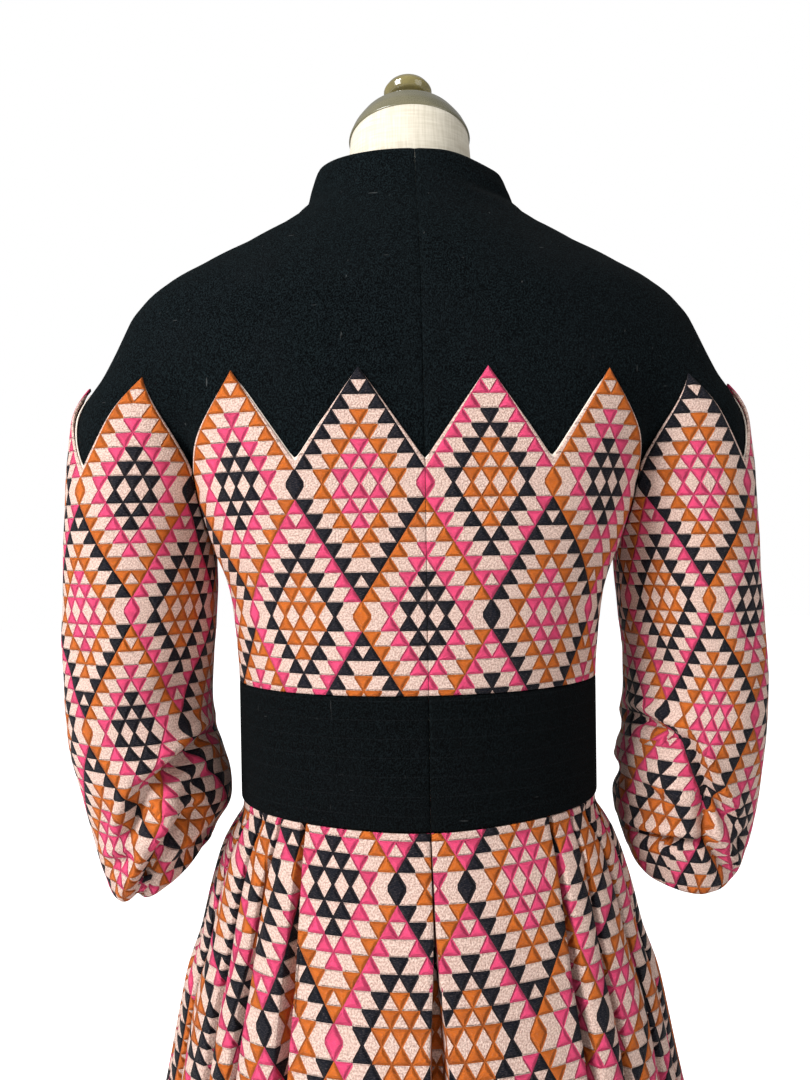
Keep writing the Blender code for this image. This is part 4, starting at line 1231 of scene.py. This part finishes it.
def sleeve_piece(name, right):
    """A whole sleeve: its shape, its creases, and the chart that follows them."""
    angles, tops, stations, around = sleeve_head()
    side = "right" if right else "left"
    coarse = sleeve_rings(tops, angles, right)
    longest = np.linalg.norm(np.diff(coarse, axis=0), axis=2).sum(axis=0)
    near, down = rows_below_edge(112)
    lengths = near + down * (longest - EDGE_ROWS[-1] - 1e-6)
    rows = smooth_down(coarse, lengths)
    # The points lie on top of the yoke, clear of its curve
    rows = pressed(rows, -POINTS_LIFT * eased(ramp(rows[:, :, 2], LIFT_FROM, LIFT_OVER)), True)
    # Rows count level heights above the first row of diamonds, and lengths of cloth below it
    above = tops - FIRST_ROW_HEIGHT
    level = [np.interp(-FIRST_ROW_HEIGHT, -rows[:70, c, 2], lengths[:70, c]) for c in range(rows.shape[1])]
    level = np.where(above > 0, level, above)
    height = np.where(lengths < level, above * (1 - lengths / np.maximum(level, MM)), level - lengths)
    # Creases, pressed as seen from behind on the back half and from before on the front half
    place = rows[:, :, [0, 2]]
    behind_share = np.clip(0.5 + np.sin(angles) * 1.4, 0, 1)[None, :]
    creases = SLEEVE_CREASES[f"{side}_back"]
    hidden = behind_share[..., None] * swallowed(creases, place, 12 * MM)
    height = height + hidden[:, :, 1]
    rows = press_creases(rows, creases, place, 2.2 * behind_share, closed=True)
    rows = press_creases(rows, SLEEVE_CREASES["front"], place, 2.0 * (1 - behind_share), closed=True)
    # The gathered hem ripples
    low = ramp(rows[:, :, 2], 0.945, -0.060) ** 1.5
    phase = stations / 0.021 + (0.8 if right else 0.0)
    ripple = 1.5 * MM * np.sin(phase + 1.2 * np.sin(phase * 0.37)) * (0.6 + 0.4 * np.sin(phase * 0.23))
    rows = roll_edge(pressed(rows, low * ripple, True))
    # Both sleeves are set a little off the thread, so the diamonds wander as they go down
    units, fallen = stations / UNIT, np.clip(-height, 0, None)
    if right:
        across = units - 3.5 + 0.5 * np.clip((fallen - 0.08) / 0.10, 0, 1.5)
    else:
        across = 17.5 - units - 3.6 * fallen
    same_way = np.gradient(place[40, :, 0]) * np.gradient(across[40]) * behind_share[0]
    across = across + (1 if np.mean(same_way) > 0 else -1) * hidden[:, :, 0] / UNIT
    chart = np.stack([across, height / np.where(height > 0, ROW, SLEEVE_ROW)], axis=-1)
    # The column that closes the tube has the first one's rows, one whole turn further on
    turn = np.array([around / UNIT * (1 if right else -1), 0.0])
    chart = np.concatenate([chart, chart[:, :1] + turn], axis=1)
    dress(name, rows, chart, DIAMOND_CLOTH, closed=True, mirrored=right)


for side_name, right in SIDES:
    sleeve_piece(f"sleeve_{side_name}", right)

# %% [markdown]
# ## The waistband
#
# A wide flat band of the same crepe, stiffened and stitched through in level rows. Its seams dip at
# centre back and the sides, and both long edges roll over a little. The stitching is only a bump and
# a thread in the material, because a stitch is finer than any mesh we would want to carry.

# %% Waistband
SAG_AT_CENTRE = 2.6 * MM


def sag_behind(x, z):
    """The small dip of waistband and skirt at centre back."""
    return -SAG_AT_CENTRE * bell(x / 0.060) * bell((z - BAND_BOTTOM) / 0.035)


def band_piece(name, front, right):
    """A quarter of the waistband."""
    heights = np.concatenate([
        [BAND_TOP, BAND_TOP - 0.8 * MM, BAND_TOP - 2.0 * MM],
        np.linspace(BAND_TOP - 4 * MM, BAND_BOTTOM + 4 * MM, 30),
        [BAND_BOTTOM + 2.0 * MM, BAND_BOTTOM + 0.8 * MM, BAND_BOTTOM],
    ])
    side = side_length(heights, front) - SEAM_GAP / 2
    share = np.concatenate([[0, 0.006, 0.014], np.linspace(0.03, 0.975, 56), [0.988, 1.0]])
    distance = side[:, None] * share[None, :]
    dip = seam_dip(distance, 0.9, 1.8) + seam_dip(side[:, None] - distance, 0.7, 1.8)
    chart = np.stack([distance, np.broadcast_to(heights[:, None], distance.shape)], axis=-1)
    rows, chart, dip = one_way_round(front, on_torso(heights[:, None], distance, front), chart, dip)
    rows = roll_edge(roll_edge(pressed(rows, dip)), first=False)
    if not front:
        rows[:, :, 2] += sag_behind(rows[:, :, 0], rows[:, :, 2])
    rows[:, -1 if front else 0, 0] += SEAM_GAP / 2
    dress(name, rows, chart, BAND_WOOL, mirrored=right)


four_quarters(band_piece, "waistband")

# %% [markdown]
# ## The skirt
#
# Each half has a wide flat panel beside the centre, a deep pleat at its edge, and narrow pleats round
# the side. At the centre back an inverted pleat opens over one piece of cloth behind it. Pleats are
# drawn in plan: at each height we know where every fold lies along the outline and how deep it is,
# and a smooth curve between those points rounds the folds. No two pleats fall alike, so a second
# table moves each one a little sideways and changes its depth on the way down.

# %% Skirt
SKIRT_HEM = 0.430
FLAT_AT_BAND = 0.098
FLAT_AT_HEM = 0.150
NARROW_PLEATS = 8
SIDE_PLEAT_COLUMN = 31
BESIDE_SEAM = 3 * MM
DEEP = 1.35                               # how much deeper the pleats beside the wide panels are
HANGS_NARROWER, TOP_DRAWN_IN = 0.016, 5.0 * MM
OPENS_FROM, OPENS_OVER, OPEN_ABOVE = 0.905, 0.09, 0.22    # how the centre pleat opens below the hip
PLEAT_SHAPE = ((-0.50, 0.0), (-0.24, 0.80), (0.0, 1.0), (0.24, 0.80), (0.50, 0.0))
SKIRT_UNIT = 13.4 * MM
SKIRT_ROW = 11.3 * MM
SKIRT_ROW_HEIGHT = 0.910
FIRST_SKIRT_ROW = -36                     # the row of the chart that lies at that height
LEFT_CORNER, RIGHT_CORNER = 19.4, 15.7    # the chart's place at centre back, on either side of the pleat
FRONT_CORNER = 73.5                       # and at centre front, a diamond's corner
UNDERLAY_PHASE = (LEFT_CORNER - RIGHT_CORNER) / 2 * SKIRT_UNIT
# How far each pleat strays and how deep it is against the plan, from the back's deep pleat round
PLEAT_WAYS = table(
    "pleat  stray_left  stray_right  waves  deeper_left  deeper_right",
    (0,     0.0,        0.5,        0.8,   1.15,        1.10),
    (1,     5.0,       -3.0,        1.3,   1.10,        0.95),
    (2,    -4.0,        4.5,        1.0,   0.90,        1.10),
    (3,     3.0,        2.0,        1.5,   1.05,        0.90),
    (4,     0.0,        0.0,        1.0,   1.00,        1.00),
    (5,    -3.0,        3.0,        1.2,   1.00,        1.05),
    (6,     3.5,       -2.5,        0.9,   0.95,        1.05),
    (7,    -2.0,        3.0,        1.4,   1.05,        0.95),
    (8,     2.5,       -3.5,        1.1,   1.00,        1.05),
    (9,     0.0,        0.0,        0.8,   1.05,        1.05),
)


def skirt_outline(z):
    """The skirt's outline on one half, from centre back to centre front."""
    angles = np.linspace(math.pi / 2, -math.pi / 2, 721)
    depth = np.where(angles > 0, at(SKIRT, "back", z), at(SKIRT, "front", z))
    # It hangs a little narrower than the plain model, and its top is drawn in behind the waistband
    half_width = at(SKIRT, "half_width", z) * (1 - HANGS_NARROWER * ramp(z, 0.90, -0.06))
    half_width = half_width - TOP_DRAWN_IN * ramp(z, 0.912, 0.030)
    return np.stack([half_width * np.cos(angles), depth * np.sin(angles)], axis=1)


def pleat_columns(z, side):
    """Place and depth of every fold's points round half the skirt, for one height."""
    total = run_of(skirt_outline(z))[-1]
    gap, depth, crown = (float(at(PLEAT, name, z)) for name in ("gap", "depth", "crown"))
    fall = (BAND_BOTTOM - z) / (BAND_BOTTOM - SKIRT_HEM)
    flat = FLAT_AT_BAND + (FLAT_AT_HEM - FLAT_AT_BAND) * fall
    places = np.linspace(flat, total - flat, NARROW_PLEATS + 2)
    # The centre pleat stays closed down to the hip, then opens
    edge = 0.5 * DEEP * gap * float(np.clip((OPENS_FROM - z) / OPENS_OVER, OPEN_ABOVE, 1.0))
    columns = [(0.0, DEEP * depth), (0.6 * edge, DEEP * depth), (edge, 0.0)]
    for number, place in enumerate(places):
        size = DEEP if number in (0, len(places) - 1) else 1.0
        wave = math.sin(math.pi * min(1.0, 1.25 * fall) * PLEAT_WAYS["waves"][number])
        place = place + PLEAT_WAYS[f"stray_{side}"][number] * MM * wave
        grown = min(1.0, fall / 0.15)
        deep = depth * size * (1 + (PLEAT_WAYS[f"deeper_{side}"][number] - 1) * grown)
        start = place - gap * size / 2
        between = 3 if number == 0 else 2
        for step in range(1, between):
            share = step / between
            columns.append((edge + (start - edge) * share, -crown if number else 0.0))
        for across, share in PLEAT_SHAPE:
            columns.append((place + across * gap * size, share * deep))
        edge = place + gap * size / 2
    for place in (edge + (total - edge) * 0.34, edge + (total - edge) * 0.67, total - BESIDE_SEAM, total):
        columns.append((place, 0.0))
    return np.array(columns)


LOOK = 2 * MM                             # how far ahead and back the outline's direction is taken
SKIRT_ROWS = np.concatenate([
    [0.9465, 0.9457, 0.9445, 0.9425], np.linspace(0.9380, SKIRT_HEM + 4 * MM, 100),
    [SKIRT_HEM + 1.9 * MM, SKIRT_HEM + 0.7 * MM, SKIRT_HEM],
])


def skirt_half(side):
    """The pleated grid of one half, its lengths along the cloth, and the column at the side."""
    plans = [pleat_columns(z, side) for z in SKIRT_ROWS]
    hem = plans[-1]
    steps = np.hypot(*np.diff(hem, axis=0).T)
    counts = np.clip(np.ceil(steps / (4.6 * MM)).astype(int), 2, 14)
    counts[-1] = 1
    marks = np.concatenate([[k + np.arange(n) / n] for k, n in enumerate(counts)], axis=None)
    marks = np.append(marks, len(counts))
    rows, lengths = [], []
    for z, plan in zip(SKIRT_ROWS, plans):
        places = np.interp(marks, np.arange(len(plan)), plan[:, 0])
        depths = smooth(plan[:, 0], plan[:, 1], places)
        outline = skirt_outline(z)
        run = run_of(outline)
        ahead, back = np.minimum(places + LOOK, run[-1]), np.maximum(places - LOOK, 0.0)
        direction = read_line(ahead, run, outline) - read_line(back, run, outline)
        direction /= np.linalg.norm(direction, axis=1)[:, None]
        inward = np.stack([direction[:, 1], -direction[:, 0]], axis=1)
        points = read_line(places, run, outline) + inward * depths[:, None]
        rows.append(np.column_stack([points, np.full(len(points), z)]))
        # On the hidden cloth of the centre pleat the chart runs straight across, on its own phase
        first_edge, fold = np.searchsorted(marks, 2.0), np.searchsorted(marks, 1.0)
        length = run_of(points)
        length += plan[2, 0] - length[first_edge]
        length[:fold + 1] = points[:fold + 1, 0] + UNDERLAY_PHASE
        length[fold:first_edge] = np.linspace(length[fold], length[first_edge], first_edge - fold,
                                              endpoint=False)
        lengths.append(length)
    return np.array(rows), np.array(lengths), int(np.searchsorted(marks, SIDE_PLEAT_COLUMN))


def skirt_fall():
    """Length down the cloth at each row, from the waistband's edge."""
    depth = at(SKIRT, "back", SKIRT_ROWS)
    return np.concatenate([[0], np.cumsum(np.hypot(np.diff(SKIRT_ROWS), np.diff(depth)))])


def finish_skirt(rows):
    """Soft unevenness of a heavy cloth, and the turned hem."""
    wander = np.sin(rows[:, :, 0] * 31 + rows[:, :, 2] * 17) * np.sin(rows[:, :, 2] * 23 - rows[:, :, 1] * 19)
    free = ramp(rows[:, :, 2], 0.93, -0.10)
    return roll_edge(pressed(rows, 0.8 * MM * wander * free), first=False)


def skirt_pieces():
    """The back in one piece, and the two fronts."""
    fall = skirt_fall()
    first_row = np.interp(-SKIRT_ROW_HEIGHT, -SKIRT_ROWS, fall)
    up = FIRST_SKIRT_ROW - (fall - first_row) / SKIRT_ROW
    halves = {}
    for side, corner, sign in (("left", LEFT_CORNER, -1), ("right", RIGHT_CORNER, 1)):
        rows, lengths, side_column = skirt_half(side)
        across = corner + sign * lengths / SKIRT_UNIT
        chart = np.stack([across, np.broadcast_to(up[:, None], across.shape)], axis=-1)
        halves[side] = rows, chart, side_column
    (left, left_chart, column), (right, right_chart, right_column) = halves["left"], halves["right"]
    # The back is one piece; both sides' charts meet on the hidden cloth of the inverted pleat
    back = np.concatenate([right[:, right_column:0:-1] * (-1, 1, 1), left[:, :column + 1]], axis=1)
    chart = np.concatenate([right_chart[:, right_column:0:-1], left_chart[:, :column + 1]], axis=1)
    back[:, [0, -1], 1] += SEAM_GAP / 2
    back[:, :, 2] += sag_behind(back[:, :, 0], back[:, :, 2])
    dress("skirt_back", finish_skirt(back), chart, DIAMOND_CLOTH)
    for side, mirrored in SIDES:
        rows, chart, start = halves[side]
        rows, chart = rows[:, start:], chart[:, start:]
        # In front the diamonds hang straight at the centre, on a diamond's corner
        chart[:, :, 0] += (FRONT_CORNER if mirrored else -FRONT_CORNER) - chart[:, -1:, 0]
        rows[:, 0, 1] -= SEAM_GAP / 2
        rows[:, -1, 0] += SEAM_GAP / 2
        dress(f"skirt_front_{side}", finish_skirt(rows), chart, DIAMOND_CLOTH,
              mirrored=mirrored)


skirt_pieces()

# %% [markdown]
# ## The pale edge under the zigzag
#
# Where the diamond cloth is turned under, a thin line of its pale ground peeps out beside the points:
# widest in the valleys and along the outer points' inner slopes, and nothing beside the centre seam.
# It is a strip of its own, tucked between the panel and the yoke.

# %% Under-edge
UNDER_FACE = 2.2 * MM                     # how far the strip stands off the yoke
UNDER_LAP = 12.0 * MM                     # how far it reaches down behind the panel
UNDER_ROWS = np.array([1.0, 0.80, 0.45, 0.0])
UNDER_ROLL = np.array([0.7, 0.20, 0.0, 0.0]) * MM


def peep(stations):
    """How far the pale edge shows above the panel's edge, by the distance from a valley."""
    swing = (stations / UNIT / 3.5) % 2
    rising = swing < 1
    high = np.where(rising, swing, 2 - swing)
    slope = np.where(rising, 1.5 * ramp(high, 0.92, -0.20), 1.1 * ramp(high, 0.60, -0.20))
    slope = np.where(stations < 3.5 * UNIT, 0.0, slope)
    return (slope + 1.2 * ramp(high, 0.08, -0.08) - 0.4 - 2.5 * ramp(high, 0.85, 0.15)) * MM


def under_edge_piece(name, points_at, tops, shows, mirrored, front=False):
    """A narrow strip along a zigzag: points_at gives the panel's face at a height, column by column."""
    z = tops + shows - (shows + UNDER_LAP) * (1 - UNDER_ROWS[:, None])
    rows, = one_way_round(front, points_at(z))
    rows = pressed(rows, PANEL_RISE - UNDER_FACE + UNDER_ROLL[:, None])
    piece = lay_cloth(name, rows, rows[:, :, [0, 2]], pale_ground, 0.9 * MM, mirrored=mirrored)
    declare_cloth(piece, rows)


def bodice_under_edge(side_name, front, right):
    """The strip beside the bodice's zigzag, from the centre seam to the armhole's corner."""
    end = length_round(armhole_points[-1 if front else 0], front) - 1.0 * MM
    distance = np.append(np.arange(0.3 * MM, LAST_PEAK, CLOTH_STEP / 2), np.linspace(LAST_PEAK, end, 30))
    slope = ZIGZAG_PEAK + (ZIGZAG_VALLEY - ZIGZAG_PEAK) * hollowed(ramp(distance, LAST_PEAK, end - LAST_PEAK))
    tops = np.where(distance <= LAST_PEAK, zigzag(distance / UNIT), slope)
    shows = np.where(distance <= LAST_PEAK, peep(distance), 0.7 * MM)
    part = "front" if front else "back"
    under_edge_piece(f"pale_edge_{part}_{side_name}", lambda z: on_torso(z, distance[None, :], front),
                     tops, shows, right, front)


def sleeve_under_edge(side_name, right):
    """The strip beside the sleeve's zigzag, on its outer side."""
    angles, tops, stations, _ = sleeve_head()
    outer = (stations >= 0) & (tops >= ZIGZAG_VALLEY - 1e-6)
    fine = np.linspace(stations[outer].min(), stations[outer].max(), 2 * int(outer.sum()))
    angle = np.interp(fine, stations, np.unwrap(angles))
    top = np.interp(fine, stations, tops)
    under_edge_piece(f"pale_edge_sleeve_{side_name}", lambda z: on_arm(z, angle[None, :]),
                     top, peep(fine), right)


for side_name, right in SIDES:
    bodice_under_edge(side_name, False, right)
    bodice_under_edge(side_name, True, right)
    sleeve_under_edge(side_name, right)

# %% [markdown]
# ## The dress form
#
# Under the coat stands a limbless form: a padded body covered in linen, a neck that ends in a slanted
# cut, and on it a lacquered cap with a turned knob. Only the neck and cap show from here, but the
# form carries the coat, so all of it is made, on a round steel base with a pole.

# %% Form, cap, knob and stand
FORM_SEAT = (1.345, 1.380)
COAT_GUIDES = (1.200, 1.430)
FORM_CLEARANCE = 9.0 * MM
FORM_SEAT_INSET = CREPE_WALL + 1.0 * MM
NECK_SLANT = math.tan(math.radians(15.0))
NECK_FOOT = 1.441
NECK_TOP = 1.4825
FORM_BOTTOM = 0.780


def linen():
    """Unbleached linen: a plain weave with thicker yarns here and there."""
    cloth = Finish("form_linen")
    metres = cloth.metres()
    upright = cloth.grain(metres, 700.0, (1.0, 1.0, 0.06))
    level = cloth.grain(metres, 700.0, (0.06, 0.06, 1.0))
    slubs = cloth.grain(metres, 180.0, (0.12, 0.12, 1.0), 1.0).ramp(0.62, 0.75)
    weave = upright * 0.5 + level * 0.5
    colour = cloth.mixed(weave.ramp(0.35, 0.65), (0.62, 0.56, 0.44), (0.76, 0.70, 0.58))
    return cloth.wear({
        "Base Color": cloth.mixed(slubs * 0.35, colour, (0.56, 0.49, 0.37)),
        "Normal": weave.relief(0.3 * MM, 0.8), "Roughness": 0.82, "Sheen Weight": 0.1})


def lacquer(name, colour, deep, roughness, clear=0.0):
    """A glossy lacquer with a faint cloudiness and fine scratches."""
    gloss = Finish(name)
    metres = gloss.metres()
    cloud = gloss.grain(metres, 45.0, detail=3.0).ramp(0.3, 0.7)
    return gloss.wear({
        "Base Color": gloss.mixed(cloud, colour, deep),
        "Roughness": roughness + gloss.grain(metres, 900.0, (1.0, 0.05, 1.0)) * 0.12,
        "Coat Weight": 0.6, "Coat Roughness": 0.06, "Transmission Weight": clear})


def brushed_steel():
    """Satin steel with fine turning marks."""
    metal = Finish("stand_steel")
    marks = metal.grain(metal.metres(), 600.0, (0.08, 0.08, 1.0))
    return metal.wear({"Base Color": metal.mixed(marks, (0.30, 0.30, 0.31), (0.48, 0.48, 0.49)),
                       "Roughness": 0.28 + marks * 0.2, "Metallic": 1.0})


def form_surface(x, y, z):
    """The form: its own body, kept inside the coat, which rests on its shoulders."""
    own = rounded(FORM, x, y, z)
    seated = ramp(z, FORM_SEAT[0], FORM_SEAT[1] - FORM_SEAT[0])
    inset = FORM_CLEARANCE + (FORM_SEAT_INSET - FORM_CLEARANCE) * seated
    inside_coat = torso_and_arm(np.abs(x), y, z) + inset
    return np.where((z > COAT_GUIDES[0]) & (z < COAT_GUIDES[1]), np.maximum(own, inside_coat), own)


def close_ends(piece):
    """Add the top and bottom faces of a tube."""
    work = bmesh.new()
    work.from_mesh(piece.data)
    bmesh.ops.holes_fill(work, edges=[edge for edge in work.edges if edge.is_boundary])
    work.to_mesh(piece.data)
    work.free()


def closed_piece(name, rows, finish):
    """A tube without a wall, whose chart is its own metres."""
    ring = np.concatenate([rows, rows[:, :1]], axis=1)
    return lay_cloth(name, rows, ring[:, :, [0, 2]], finish, 0.0, closed=True)


def form_body():
    """The padded body with its neck, in one."""
    heights = np.concatenate([np.linspace(NECK_TOP, 1.36, 42), np.linspace(1.35, FORM_BOTTOM, 70)])
    sections = trace(form_surface, heights[:, None], 0.0, 0.0, np.linspace(math.pi, -math.pi, 121)[:-1])
    z = np.broadcast_to(heights[:, None], sections.shape[:2]).copy()
    z += sections[:, :, 1] * NECK_SLANT * ramp(z, NECK_FOOT, NECK_TOP - NECK_FOOT)
    rows = with_height(sections, z)
    piece = closed_piece("form_body_linen", rows, linen())
    close_ends(piece)
    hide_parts("dress_form_body")
    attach(piece, "root")


def turned(name, profile, finish, node, tilted=False):
    """A turned piece from a smoothed profile of radius and height, top to bottom."""
    last = len(profile) - 1
    soft = read_line(np.linspace(0, last, 8 * last + 1), np.arange(last + 1), np.array(profile))
    for _ in range(3):
        soft[1:-1] = (soft[:-2] + 2 * soft[1:-1] + soft[2:]) / 4
    angles = np.linspace(math.pi, -math.pi, 97)[:-1]
    rows = np.stack([soft[:, :1] * np.cos(angles), soft[:, :1] * np.sin(angles),
                     np.broadcast_to(soft[:, 1:], (len(soft), len(angles)))], axis=-1)
    if tilted:
        turn = np.array(Matrix.Rotation(math.atan(NECK_SLANT), 3, "X"))
        rows = rows @ turn.T + (0, 0, NECK_TOP)
    piece = closed_piece(name, rows, finish)
    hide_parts(node)
    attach(piece, "root")


form_body()
cap_lacquer = lacquer("cap_lacquer", (0.135, 0.125, 0.070), (0.19, 0.17, 0.10), 0.22)
knob_lacquer = lacquer("knob_lacquer", (0.36, 0.30, 0.11), (0.25, 0.21, 0.09), 0.10, clear=0.35)
steel = brushed_steel()
turned("neck_cap_lacquered", (
    (0.0002, 0.0375), (0.014, 0.0365), (0.028, 0.0315), (0.039, 0.0225), (0.0465, 0.0115), (0.0496, 0.0040),
    (0.0503, 0.0016), (0.0496, 0.0003), (0.0002, 0.0003),
), cap_lacquer, "neck_cap", tilted=True)
turned("neck_knob_lacquered", (
    (0.0002, 0.0600), (0.009, 0.0592), (0.0165, 0.0560), (0.0205, 0.0500), (0.0185, 0.0438), (0.0110, 0.0408),
    (0.0090, 0.0378), (0.0002, 0.0378),
), knob_lacquer, "neck_knob", tilted=True)
turned("stand_pole_steel", (
    (0.0002, FORM_BOTTOM - 0.3 * MM), (0.0150, FORM_BOTTOM - 0.3 * MM), (0.0150, 0.40), (0.0150, 0.0243),
    (0.0002, 0.0243),
), steel, "stand_pole")
turned("stand_base_steel", (
    (0.0002, 0.0240), (0.0240, 0.0240), (0.0258, 0.0225), (0.0262, 0.0140), (0.0300, 0.0124),
    (0.1660, 0.0120), (0.1698, 0.0090), (0.1700, 0.0004), (0.1690, 0.0), (0.0002, 0.0),
), steel, "stand_base")
